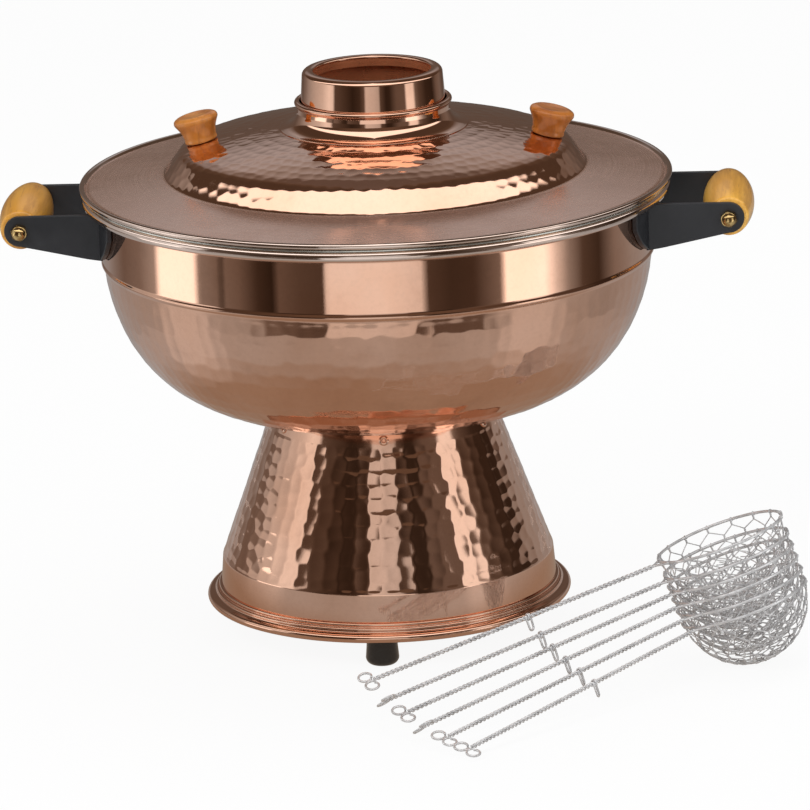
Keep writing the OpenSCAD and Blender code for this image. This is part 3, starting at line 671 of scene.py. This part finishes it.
waist_h = 0.6 * 15.2
waist_r = flue_top_r + flue_taper * (16.2 + 0.4 * 15.2) + 2.0
flare = collar_foot_r - waist_r
bead = 1.5
bore_r = flue_r(collar_top_z) + 0.7
bead_c = (bore_r + 1.4, collar_top_z - bead)
collar_profile = [(flue_r(collar_z + 0.5) + 0.7, collar_z + 0.5), (collar_foot_r, collar_z + 0.1)]
collar_profile += [(collar_foot_r - flare * math.sin(a), collar_z + 0.4 + waist_h * (1 - math.cos(a)))
                   for a in np.radians(np.linspace(4, 90, 26))]
collar_profile += rounded([(waist_r, collar_z + waist_h), (waist_r, bead_c[1] - bead - 0.2, 0.5),
                           (waist_r + 0.5, bead_c[1] - 1.3)], closed=False)[1:]
collar_profile += arc(bead_c[0], bead_c[1], bead, -60, 90, 14)
collar_profile += [(bore_r + 0.5, collar_top_z), (bore_r, collar_top_z - 0.4)]
lathe("collar_turned", collar_profile, 220, mat_polished, "lid", ["lid_collar"])

for side, name in ((LEFT, "left"), (RIGHT, "right")):
    tilt = at(side * knob_r, 0, knob_z) @ Matrix.Rotation(side * knob_tilt, 4, "Y") @ at(0, 0, 0.1)
    profile = rounded([(0, 0), (8.6, 0, 0.5), (9.0, 0.8, 0.5), (8.7, 2.6, 1.5), (9.7, 7.0, 3.0),
                       (12.3, knob_h - 3.4, 1.0), (11.9, knob_h - 1.6, 1.0), (9.4, knob_h - 0.2, 1.6),
                       (5.5, knob_h - 0.5, 2.0), (0, knob_h - 0.8)], closed=False, steps=6)
    lathe(f"{name}_turned_knob", profile, 96, mat_knob, "lid", [f"{name}_knob"], place=tilt)


# ---------- handles
def slab(outline, thick, lift):
    """A plate in the XZ plane, from y = lift to lift + thick."""
    n = len(outline)
    points = [(x, y, z) for y in (lift, lift + thick) for x, z in outline]
    faces = [list(range(n)), list(range(2 * n - 1, n - 1, -1))]
    faces += [(i, n + i, n + (i + 1) % n, (i + 1) % n) for i in range(n)]
    return points, faces


def saddle(side):
    """The curved plate that is riveted to the bowl, with rising lower corners."""
    r0 = bowl_r + 0.1
    half = arm_y + 21
    top_z = band_top_z - 0.5
    low_z = arm_top_z - arm_root_h
    edge = rounded([(0, low_z), (arm_y + 2, low_z, 4), (half - 7, top_z - 18, 5), (half, top_z - 9, 3),
                    (half, top_z)], closed=False, steps=8)
    ys = [p[0] for p in edge]
    zs = [p[1] for p in edge]
    count = 60
    points = []
    for i in range(count + 1):
        y = -half + 2 * half * i / count
        low = float(np.interp(abs(y), ys, zs)) if abs(y) < half - 0.01 else top_z - 9
        for r, z in ((r0, low), (r0 + arm_t, low), (r0 + arm_t, top_z), (r0, top_z)):
            a = math.asin(max(-1, min(1, y / (r0 + arm_t))))
            points.append((side * r * math.cos(a), r * math.sin(a), z))
    return points, bands(count + 1, 4) + [(3, 2, 1, 0), tuple(4 * count + k for k in range(4))]


def bracket(side, name):
    root = math.sqrt((bowl_r + 1.6) ** 2 - (arm_y + arm_t) ** 2)
    end_r = 8.3
    outline = rounded([(side * root, arm_top_z - arm_root_h),
                       (side * (root + 8), arm_top_z - arm_root_h + 1.2, 3),
                       (side * grip_x, grip_z - end_r)], closed=False)
    outline += [(side * (grip_x + end_r * math.cos(a)), grip_z + end_r * math.sin(a))
                for a in np.radians(np.linspace(-84, 90, 24))]
    outline += [(side * root, arm_top_z)]
    parts = [slab(outline, arm_t, arm_y), slab(outline, arm_t, -arm_y - arm_t), saddle(side)]
    points, faces = joined(parts)
    obj = piece(f"{name}_bracket_plate", points, faces, mat_black, "pot", [f"{name}_bracket"])
    rework(obj.data, lambda work: bmesh.ops.recalc_face_normals(work, faces=work.faces))
    edge = obj.modifiers.new("edge", "BEVEL")
    edge.width = 0.55 * MM
    edge.segments = 3
    edge.limit_method = "ANGLE"
    edge.angle_limit = math.radians(50)
    obj.data.set_sharp_from_angle(angle=math.radians(60))


def cap_nut():
    """Hexagon with chamfered corners and a domed cap, along Z."""
    across = 4.0
    segments = 72
    rings = [(0, 0, 9), (across - 0.1, 0, 9), (4.35, 0, 9), (4.7, 0.45, 9), (4.7, 3.4, 9), (4.2, 3.95, 9),
             (3.75, 4.0, 0), (3.6, 4.15, 0)]
    rings += [(3.6 * math.cos(a), 4.5 + 3.0 * math.sin(a), 0) for a in np.radians(np.linspace(4, 88, 10))]
    points = []
    for r, z, hexed in rings:
        for j in range(segments):
            a = TAU * j / segments
            flat = across / math.cos((a % (TAU / 6)) - TAU / 12)
            size = min(r, flat) if hexed else r
            points.append((size * math.cos(a), size * math.sin(a), z))
    last_ring = range((len(rings) - 1) * segments, len(rings) * segments)
    return points, bands(len(rings), segments) + [tuple(last_ring)]


for side, name in ((LEFT, "left"), (RIGHT, "right")):
    bracket(side, name)
    profile = [(0, -grip_half)] + rounded([(9.1, -grip_half), (10.15, -grip_half + 0.9, 0.8)], closed=False)
    sag = 3.5
    barrel_r = 13.78
    arc_r = (grip_half ** 2 + sag ** 2) / (2 * sag)
    reach = math.asin((grip_half - 1.2) / arc_r)
    profile += [(barrel_r - arc_r + arc_r * math.cos(a), arc_r * math.sin(a))
                for a in np.linspace(-reach, reach, 48)]
    profile += [(10.15, grip_half - 0.9), (9.1, grip_half), (0, grip_half)]
    stand_up = at(side * grip_x, 0, grip_z) @ Matrix.Rotation(math.pi / 2, 4, "X")
    lathe(f"{name}_turned_grip", profile, 96, mat_grip, "pot", [f"{name}_grip"], place=stand_up)
    nut_points, nut_faces = cap_nut()
    parts = []
    for front in (-1, 1):
        turn = Matrix.Translation((side * grip_x, front * (arm_y + arm_t), grip_z)) \
            @ Matrix.Rotation(-front * math.pi / 2, 4, "X") @ Matrix.Rotation(0.3 * front, 4, "Z")
        parts.append((moved(nut_points, turn), nut_faces))
    points, faces = joined(parts)
    piece(f"{name}_domed_nuts", points, faces, mat_brass, "pot", [f"{name}_cap_nuts"], sharp=28)


# ---------- strainers
class Wires:
    """Collects round wires into one mesh."""

    def __init__(self):
        self.points = []
        self.faces = []

    def add(self, path, radius, sides=6, closed=False):
        p = np.asarray(path, dtype=float)
        n = len(p)
        if closed:
            tangent = np.roll(p, -1, axis=0) - np.roll(p, 1, axis=0)
        else:
            tangent = np.gradient(p, axis=0)
        tangent /= np.linalg.norm(tangent, axis=1)[:, None] + 1e-12
        side = np.cross(tangent[0], (0.31, 0.52, 0.79))
        side /= np.linalg.norm(side)
        start = len(self.points)
        angles = np.arange(sides) * TAU / sides
        for i in range(n):
            side = side - tangent[i] * side.dot(tangent[i])
            side /= np.linalg.norm(side) + 1e-12
            other = np.cross(tangent[i], side)
            ring = p[i] + radius * (np.cos(angles)[:, None] * side + np.sin(angles)[:, None] * other)
            self.points.extend(map(tuple, ring))
        self.faces += [tuple(start + v for v in face) for face in bands(n, sides, closed)]
        if not closed:
            self.faces.append(tuple(range(start + sides - 1, start - 1, -1)))
            self.faces.append(tuple(range(start + (n - 1) * sides, start + n * sides)))


BASKET_R, SIDE_H, DRAFT = 35.5, 7.0, math.radians(14.5)
NET_T = 1.4
TILT, LEAN = math.radians(19.3), math.radians(167.7)
NEST_OUT, NEST_Y, NEST_STEP, TOP_EXTRA = 45.2, -93.4, 7, 2.7
FAN_START, FAN_STEP = 225.9, 4.18
FORK_OUT, FORK_HALF, SHAFT_L, RISE = 6.5, math.radians(12), 166.4, math.radians(2.3)
LOOP_R, HOOK_DROP, HOOK_HALF, HOOK_SWING = 3.6, 7.5, 2.2, math.radians(35)
TWIST_PITCH, TWIST_R = 5.4, 0.66
RIM_WIRE, SHAFT_WIRE, HOOK_WIRE, WRAP_WIRE, NET_WIRE, TIE_WIRE = 0.78, 0.64, 0.6, 0.4, 0.31, 0.24
LOOSE_WIRES = 110
side_l = SIDE_H / math.cos(DRAFT)
low_ring_r = BASKET_R - SIDE_H * math.tan(DRAFT)
ball_r = low_ring_r / math.cos(DRAFT)
ball_z = -SIDE_H + ball_r * math.sin(DRAFT) - 0.8
net_r = ball_r - NET_T / 2
ring_r = BASKET_R - NET_T / 2
rest_z = ball_r - ball_z * math.cos(TILT)
bottom_w = side_l + net_r * (math.pi / 2 - DRAFT) - 0.6


def strainer_place(k):
    """Strainer 6 stands on the table and strainer 1 is on top of the nest; their handles fan out."""
    level = 6 - k
    lift = NEST_STEP * level + (TOP_EXTRA if level == 5 else 0)
    turn = math.radians(FAN_START - FAN_STEP * level) - LEAN
    return Matrix.Translation((bowl_r + NEST_OUT, NEST_Y, rest_z)) @ Matrix.Rotation(LEAN, 4, "Z") \
        @ Matrix.Rotation(TILT, 4, "Y") @ Matrix.Translation((0, 0, lift)) @ Matrix.Rotation(turn, 4, "Z")


def cup(angle, w):
    """A point on the basket's middle surface: angle round it and distance w down from the rim."""
    w = min(w, bottom_w)
    if w < side_l:
        r, z = ring_r - w * math.sin(DRAFT), -0.8 * min(1, w) - w * math.cos(DRAFT)
    else:
        a = min(DRAFT + (w - side_l) / net_r, math.pi / 2)
        r, z = net_r * math.cos(a), ball_z - net_r * math.sin(a)
    return np.array((r * math.cos(angle), r * math.sin(angle), z))


def twisted(wires, a, b, phase, turns=1.5):
    """Two strands of the net wound round each other from a to b."""
    axis = (b - a) / np.linalg.norm(b - a)
    u = np.cross(axis, (a[0], a[1], -8.0))
    u /= np.linalg.norm(u)
    v = np.cross(axis, u)
    steps = int(10 * turns)
    for strand in (0, math.pi):
        path = []
        for i in range(steps + 1):
            t = i / steps
            angle = phase + strand + TAU * turns * t
            path.append(a + (b - a) * t + 0.95 * NET_WIRE * (math.cos(angle) * u + math.sin(angle) * v))
        wires.add(path, NET_WIRE, 5)


def strand(wires, a, b):
    """A plain wire on the cup between two places, each an angle and a distance down."""
    wires.add([cup(a[0] + (b[0] - a[0]) * t, a[1] + (b[1] - a[1]) * t) * (1 - 0.001 * math.sin(math.pi * t))
               for t in np.linspace(0, 1, 7)], NET_WIRE, 5)


def tie(wires, angle):
    """A short coil that holds the net to the rim ring."""
    out = np.array((math.cos(angle), math.sin(angle), 0))
    along = np.array((-math.sin(angle), math.cos(angle), 0))
    up = np.array((0, 0, 1))
    wires.add([out * (ring_r + math.cos(s)) + up * math.sin(s) + along * 1.4 * (s / TAU - 0.5)
               for s in np.linspace(-0.6 * math.pi, TAU, 14)], TIE_WIRE, 5)


def net(k):
    """Hexagonal wire netting shaped to the cup, with twisted joints and closing towards the bottom."""
    rand = random.Random(100 + k)
    wires = Wires()
    rows = [(16, 0.0, 2.2)]
    w = 2.2
    for count, twist, diagonal in ((16, 3.4, 4.2), (16, 3.2, 4.0), (16, 3.0, 3.8), (16, 2.8, 3.4),
                                   (16, 2.4, 3.0), (8, 2.2, 3.0), (8, 2.0, 3.0), (8, 1.6, 2.4)):
        w += diagonal
        rows.append((count, w, twist))
        w += twist
    turn0 = rand.uniform(0, 1)
    tops, bottoms = [], []
    for j, (count, start, twist) in enumerate(rows):
        gap = TAU / count
        shift = (0.5 * gap * (j % 2) if count == 16 else gap * (0.25 + 0.5 * ((j + 1) % 2))) + turn0
        slack = 0.0 if j == 0 else 0.07
        row_top, row_low = [], []
        for i in range(count):
            angle = shift + gap * (i + rand.uniform(-slack, slack))
            wobble = 0.0 if j == 0 else rand.uniform(-0.5, 0.5)
            row_top.append((angle, start + wobble))
            row_low.append((angle + gap * rand.uniform(-slack, slack) * 0.5, start + twist + wobble))
        tops.append(row_top)
        bottoms.append(row_low)

    for j, (count, _, _) in enumerate(rows):
        for i, (a, b) in enumerate(zip(tops[j], bottoms[j])):
            twisted(wires, cup(*a), cup(*b), rand.uniform(0, TAU))
            if j + 1 == len(rows):
                continue
            below = tops[j + 1]
            if len(below) == count:
                back = j % 2 == 0 if count == 16 else below[0][0] >= tops[j][0][0]
                targets = (below[i], below[(i - 1 if back else i + 1) % count])
            else:
                targets = (min(below, key=lambda s: abs((s[0] - b[0] + math.pi) % TAU - math.pi)),)
            for c in targets:
                strand(wires, b, (c[0] + TAU * round((b[0] - c[0]) / TAU), c[1]))
    for angle, _ in tops[0]:
        tie(wires, angle)
    last = bottoms[-1]
    for a, b in zip(last, last[1:] + last[:1]):
        strand(wires, (a[0], a[1] - 0.6), (b[0] + (TAU if b[0] < a[0] else 0), b[1] - 0.6))
    for a in last[::2]:
        strand(wires, (a[0], a[1] - 0.6), (a[0] + 0.2, bottom_w + 0.4))
    for _ in range(LOOSE_WIRES):
        deep = 11 + (bottom_w - 14) * rand.random() ** 0.8
        around = rand.uniform(0, TAU)
        reach = rand.uniform(3.0, 6.5)
        slant = rand.uniform(-0.95, 0.95)
        width = max(6, ball_r * math.cos(min(1.25, DRAFT + deep / ball_r)))
        strand(wires, (around, deep),
               (around + reach * math.cos(slant) / width, deep + reach * math.sin(slant)))
    return wires


def handle(k):
    """Rim, fork, two-wire twisted shaft, hanging hook and the pair of end loops."""
    wires = Wires()
    steps = 120
    wires.add([(ring_r * math.cos(a), ring_r * math.sin(a), 0) for a in np.arange(steps) * TAU / steps],
              RIM_WIRE, 10, closed=True)
    up = Matrix.Translation((ring_r, 0, 0)) @ Matrix.Rotation(-RISE, 4, "Y")

    def lay(path, radius, sides, place=up):
        wires.add(moved(path, place), radius, sides)

    turns = SHAFT_L / TWIST_PITCH
    loop_turn = math.radians(21 if k in (2, 4) else -26)
    end = up @ Matrix.Translation((FORK_OUT + SHAFT_L, 0, 0)) @ Matrix.Rotation(loop_turn, 4, "X")
    for sign in (1, -1):
        path = []
        for i in range(8):
            t = i / 8
            ease = t * t * (3 - 2 * t)
            x = ring_r * (math.cos(FORK_HALF) - 1) * (1 - t) + FORK_OUT * t
            y = sign * (ring_r * math.sin(FORK_HALF) * (1 - ease) + TWIST_R * ease)
            path.append((x, y, 0.1 * t))
        count = int(turns * 14)
        for i in range(count + 1):
            t = i / count
            a = TAU * turns * t
            path.append((FORK_OUT + SHAFT_L * t, sign * TWIST_R * math.cos(a), sign * TWIST_R * math.sin(a)))
        lay(path, SHAFT_WIRE, 8)
        first = math.atan2(-sign * (LOOP_R + 0.2), -LOOP_R * 0.8)
        loop = []
        for i in range(31):
            t = i / 30
            a = first + sign * math.radians(350) * t
            size = LOOP_R * (1 - 0.06 * t)
            loop.append((LOOP_R * 0.8 + size * math.cos(a), sign * (LOOP_R + 0.8) + size * math.sin(a),
                         sign * (0.5 - t) * 0.7))
        lay(loop, SHAFT_WIRE, 8, end)
    hook_x = FORK_OUT + 0.45 * SHAFT_L
    bend = rounded([(-HOOK_HALF, 0.6), (0.5 - HOOK_HALF, 0.2 - HOOK_DROP, 1.6),
                    (HOOK_HALF - 0.5, 0.2 - HOOK_DROP, 1.6), (HOOK_HALF, 0.6)], closed=False, steps=6)
    lay([(hook_x + y * math.cos(HOOK_SWING), y * math.sin(HOOK_SWING), z) for y, z in fine(bend, 1.5)],
        HOOK_WIRE, 8)
    lay([(hook_x + 1.6 * (t - 0.5), 1.75 * math.cos(2 * TAU * t), 1.75 * math.sin(2 * TAU * t))
         for t in np.linspace(0, 1, 28)], WRAP_WIRE, 6)
    return wires


for k in range(1, 7):
    place = strainer_place(k)
    for wires, label, node in ((handle(k), "wire", "handle"), (net(k), "net", "basket")):
        piece(f"strainer_{k}_{label}", moved(wires.points, place), wires.faces, mat_wire, f"strainer_{k}",
              [f"strainer_{k}_{node}"])


# ---------- CAD nodes that stay, with their finishes
FINISH = dict.fromkeys(("pot_seat", "foot_studs", "foot_nuts", "burner_tray", "burner_cup", "burner_grid",
                        "locating_ring", "left_rod", "right_rod", "knob_screws", "knob_washers"), mat_steel)
FINISH |= {"burner_pad": mat_wool, "left_rivets": mat_black, "right_rivets": mat_black}
for name, material in FINISH.items():
    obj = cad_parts[name]
    if not obj.material_slots:
        obj.data.materials.append(material)
    for holder in obj.material_slots:
        holder.link = "OBJECT"
        holder.material = material


# ---------- floor, cards, lamps and camera
def stage_mesh(name, vertices, faces, material):
    mesh = bpy.data.meshes.new(name)
    mesh.from_pydata(vertices, [], faces)
    mesh.materials.append(material)
    obj = bpy.data.objects.new(name, mesh)
    bpy.context.scene.collection.objects.link(obj)
    return obj


def disc(r, z):
    return [(r * math.cos(TAU * i / 64), r * math.sin(TAU * i / 64), z) for i in range(64)], [list(range(64))]


def seen_directly(nodes):
    """1 for camera, glossy and transmission rays."""
    path = nodes.add("ShaderNodeLightPath").outputs
    seen = nodes.maths("MAXIMUM", path["Is Camera Ray"], path["Is Glossy Ray"])
    return nodes.maths("MAXIMUM", seen, path["Is Transmission Ray"])


FLOOR_R, FLOOR_GLOW = 8.0, 0.92
floor = Shader("pale_floor", Base_Color=(0.86, 0.86, 0.86, 1), Roughness=0.9)
glow = floor.add("ShaderNodeEmission", {"Color": (1, 1, 1, 1)})
share = floor.maths("MULTIPLY", seen_directly(floor), FLOOR_GLOW)
floor.surface(floor.add("ShaderNodeMixShader", {0: share, 1: floor.bsdf.outputs[0], 2: glow.outputs[0]}))
stage_mesh("floor", *disc(FLOOR_R, 0), floor.owner)

# The cards are what the copper reflects: softboxes, dark gaps and a window, fixed in the room. Only
# glossy rays see them. Angles are in degrees round the object from the side where the camera stands.
TOWARDS_CAMERA = -86.6
CARD_R, CARD_STEPS = 0.80, 180
FOOT_FADE = (0.016, 0.024)
LOW_TO_HIGH = (0.130, 0.150)
WALL_TO_UPPER = (0.480, 0.505)
GROUND_FAR = (0.425, 0.440)
GROUND_WARM = (0.20, 0.31)
LOW_LOOK = [
    (-180, 0.25), (-143, 0.28), (-123, 0.15), (-109, 0.20), (-98, 0.36), (-95, 1.55), (-76, 1.5),
    (-73, 0.25), (-64, 0.18), (-62.5, 0.03), (-61, 0.18), (-55, 0.15), (-47, 0.05), (-40, 0.025),
    (-38.5, 0.13), (-30, 0.09), (-21, 0.075), (-19.5, 0.86), (3, 0.88), (16, 0.74), (17.5, 0.08),
    (27, 0.05), (36, 0.06), (47, 0.20), (49, 1.55), (66, 1.5), (72, 0.75), (78, 0.28), (86, 0.08),
    (96, 0.045), (107, 0.22), (122, 0.30)]
HIGH_LOOK = [
    (-180, 0.12), (-150, 0.12), (-134, 0.22), (-122, 0.34), (-102, 0.52), (-86, 0.64), (-73, 0.90),
    (-66, 0.80), (-62, 0.10), (-44, 0.06), (-32, 0.03), (-21, 0.05), (-14, 0.12), (-11, 0.66), (2, 0.58),
    (9, 0.48), (11, 0.10), (20, 0.03), (26, 0.035), (37, 0.13), (51, 0.14), (54, 1.0), (66, 0.95),
    (70, 0.18), (77, 0.10), (92, 0.04), (109, 0.03), (122, 0.15), (134, 0.18), (150, 0.10), (180, 0.12)]
NEAR_LOOK = [
    (-180, 0.38), (-125, 0.38), (-100, 0.42), (-92, 0.56), (-74, 0.56), (-64, 0.40), (-35, 0.38),
    (-8, 0.42), (25, 0.38), (44, 0.42), (52, 0.56), (68, 0.54), (78, 0.40), (115, 0.36), (180, 0.38)]
FAR_LOOK = [
    (-180, 0.34), (-125, 0.34), (-100, 0.36), (-90, 0.58), (-74, 0.56), (-66, 0.38), (-50, 0.34),
    (-43, 0.16), (-21, 0.08), (-19, 0.66), (15, 0.60), (17, 0.10), (38, 0.12), (44, 0.36), (54, 0.56),
    (68, 0.54), (78, 0.38), (100, 0.30), (120, 0.34), (180, 0.34)]
UPPER_LOOK = [
    (0.10, (0.22, 0.21, 0.21)), (0.20, (0.23, 0.22, 0.22)), (0.33, (0.40, 0.42, 0.46)),
    (0.44, (0.29, 0.28, 0.28)), (0.54, (0.12, 0.095, 0.083)), (0.95, (0.13, 0.105, 0.095))]
FRONT_UPPER, FLANK_UPPER, WARM_GROUND = (0.12, 0.085, 0.062), (0.02, 0.012, 0.008), (0.31, 0.25, 0.20)
DULL_SOFTBOX, WINDOW = (0.30, 0.30, 0.31), (1.5, 1.5, 1.5)


class Card(Nodes):
    """A glowing material whose colour depends on the height and the direction from the axis."""

    def __init__(self, name):
        super().__init__(bpy.data.materials.new(name))
        self.tree.nodes.remove(self.tree.nodes["Principled BSDF"])
        parts, self.radius = self.round_axis()
        self.z = parts[2]
        turn = self.maths("ARCTAN2", parts[1], parts[0])
        turn = self.maths("ADD", turn, math.radians(180 - TOWARDS_CAMERA))
        self.turn = self.maths("FRACT", self.maths("DIVIDE", turn, TAU))
        self.sideways = self.maths("ABSOLUTE", self.maths("SUBTRACT", self.turn, 0.5))

    def look(self, stops):
        """Brightness round the object; the dark places are warm and the bright ones neutral."""
        colours = []
        for angle, value in stops:
            cool = min(1, value / 0.3)
            colours.append(((angle + 180) / 360,
                            (value, value * (0.64 + 0.36 * cool), value * (0.42 + 0.58 * cool))))
        return self.ramp(self.turn, colours)

    def hang(self, name, vertices, faces, colour):
        """Makes the card's mesh, which only reflections see."""
        self.surface(self.add("ShaderNodeEmission", {"Color": colour, "Strength": 1.0}))
        obj = stage_mesh(name, vertices, faces, self.owner)
        obj.visible_camera = obj.visible_diffuse = False
        obj.visible_shadow = obj.visible_transmission = False


def wall_colour(card):
    """The look of the wall. sideways is 0 towards the camera and 0.5 behind the object."""
    low = card.look(LOW_LOOK)
    outer = card.between(card.sideways, 0.0, 1.0, 0.095, 0.105)
    foot = card.between(card.z, 0.0, 1.0, *FOOT_FADE)
    bright = card.between(card.add("ShaderNodeRGBToBW", {0: low}).outputs[0], 0.0, 1.0, 0.4, 0.7)
    cut = card.maths("MULTIPLY", card.maths("MULTIPLY", outer, bright), card.maths("SUBTRACT", 1.0, foot))
    low = card.blend(cut, low, DULL_SOFTBOX)
    return card.blend(card.between(card.z, 0.0, 1.0, *LOW_TO_HIGH), low, card.look(HIGH_LOOK))


def upper_colour(card):
    """The look above the wall: light behind, dark in front and at the flanks, and a curved window."""
    rise = card.maths("ARCTAN2", card.maths("SUBTRACT", card.z, 0.25), card.radius)
    rise = card.maths("DIVIDE", rise, math.pi / 2)
    upper = card.ramp(rise, UPPER_LOOK)
    upper = card.blend(card.between(card.sideways, 0.0, 1.0, 0.415, 0.455), FRONT_UPPER, upper)
    flanks = card.maths("MULTIPLY", card.between(card.sideways, 0.0, 0.45, 0.08, 0.16),
                        card.between(card.sideways, 1.0, 0.0, 0.38, 0.44))
    upper = card.blend(flanks, upper, FLANK_UPPER)
    bend = card.maths("MULTIPLY", card.maths("MULTIPLY", card.sideways, card.sideways), 3.05)
    drop = card.maths("ADD", card.maths("SUBTRACT", rise, 0.59), bend)
    top = card.maths("ADD", drop, card.maths("MULTIPLY", card.sideways, 1.5))
    window = card.maths("MULTIPLY", card.between(card.sideways, 1.0, 0.0, 0.30, 0.345),
                        card.maths("MULTIPLY", card.between(drop, 0.0, 1.0, -0.150, -0.125),
                                   card.between(top, 1.0, 0.0, 0.37, 0.42)))
    return card.blend(window, upper, WINDOW)


wall = Card("studio_cards")
wall_look = wall.blend(wall.between(wall.z, 0.0, 1.0, *WALL_TO_UPPER), wall_colour(wall), upper_colour(wall))
rings = [(CARD_R, 0.002), (CARD_R, 0.35), (CARD_R, 0.7)]
rings += [(CARD_R * math.cos(a), 0.7 + 0.8 * math.sin(a)) for a in np.radians(np.linspace(10, 89, 10))]
points = [(r * math.cos(TAU * i / CARD_STEPS), r * math.sin(TAU * i / CARD_STEPS), z)
          for r, z in rings for i in range(CARD_STEPS)]
wall.hang("studio_cards", points, bands(len(rings), CARD_STEPS), wall_look)

ground = Card("ground_card")
spill = ground.blend(ground.between(ground.radius, 0.0, 1.0, *GROUND_FAR), ground.look(NEAR_LOOK),
                     ground.look(FAR_LOOK))
spill = ground.blend(ground.between(ground.radius, 1.0, 0.0, *GROUND_WARM), spill, WARM_GROUND)
ground.hang("ground_card", *disc(CARD_R, 0.0004), spill)

world = bpy.data.worlds.new("studio")
bpy.context.scene.world = world
sky = Nodes(world)
background = sky.tree.nodes["Background"]
background.inputs["Color"].default_value = (1, 1, 1, 1)
sky.tree.links.new(sky.between(seen_directly(sky), 0.55, 1.0, 0.0, 1.0), background.inputs["Strength"])


def lamp(name, place, aim, size, power):
    data = bpy.data.lights.new(name, "AREA")
    data.shape = "RECTANGLE"
    data.size = data.size_y = size
    data.energy = power
    obj = bpy.data.objects.new(name, data)
    bpy.context.scene.collection.objects.link(obj)
    obj.location = place
    obj.rotation_euler = (Vector(aim) - Vector(place)).to_track_quat("-Z", "Y").to_euler()
    obj.visible_glossy = False


lamp("key", (-1.3, -1.9, 1.9), (0, 0, 0.15), 1.2, 26)
lamp("fill", (1.7, -1.6, 1.2), (0, 0, 0.12), 1.2, 12)
lamp("top", (0.1, 0.5, 2.3), (0, 0, 0.1), 1.6, 18)

EYE, AHEAD, ROLL, LENS = (0.1972, -3.3216, 1.0265), (-0.05377, 0.96335, -0.26277), -0.0330172, 281.28
ahead = Vector(AHEAD).normalized()
level_right = ahead.cross(Vector((0, 0, 1))).normalized()
level_up = level_right.cross(ahead)
right = level_right * math.cos(ROLL) + level_up * math.sin(ROLL)
up = level_up * math.cos(ROLL) - level_right * math.sin(ROLL)
camera_data = bpy.data.cameras.new("camera")
camera_data.sensor_width = 36
camera_data.lens = LENS
camera_data.clip_end = 50
camera = bpy.data.objects.new("camera", camera_data)
bpy.context.scene.collection.objects.link(camera)
camera.matrix_world = Matrix.Translation(Vector(EYE)) @ Matrix((right, up, -ahead)).transposed().to_4x4()
bpy.context.scene.camera = camera
bpy.context.scene.view_settings.view_transform = "Standard"
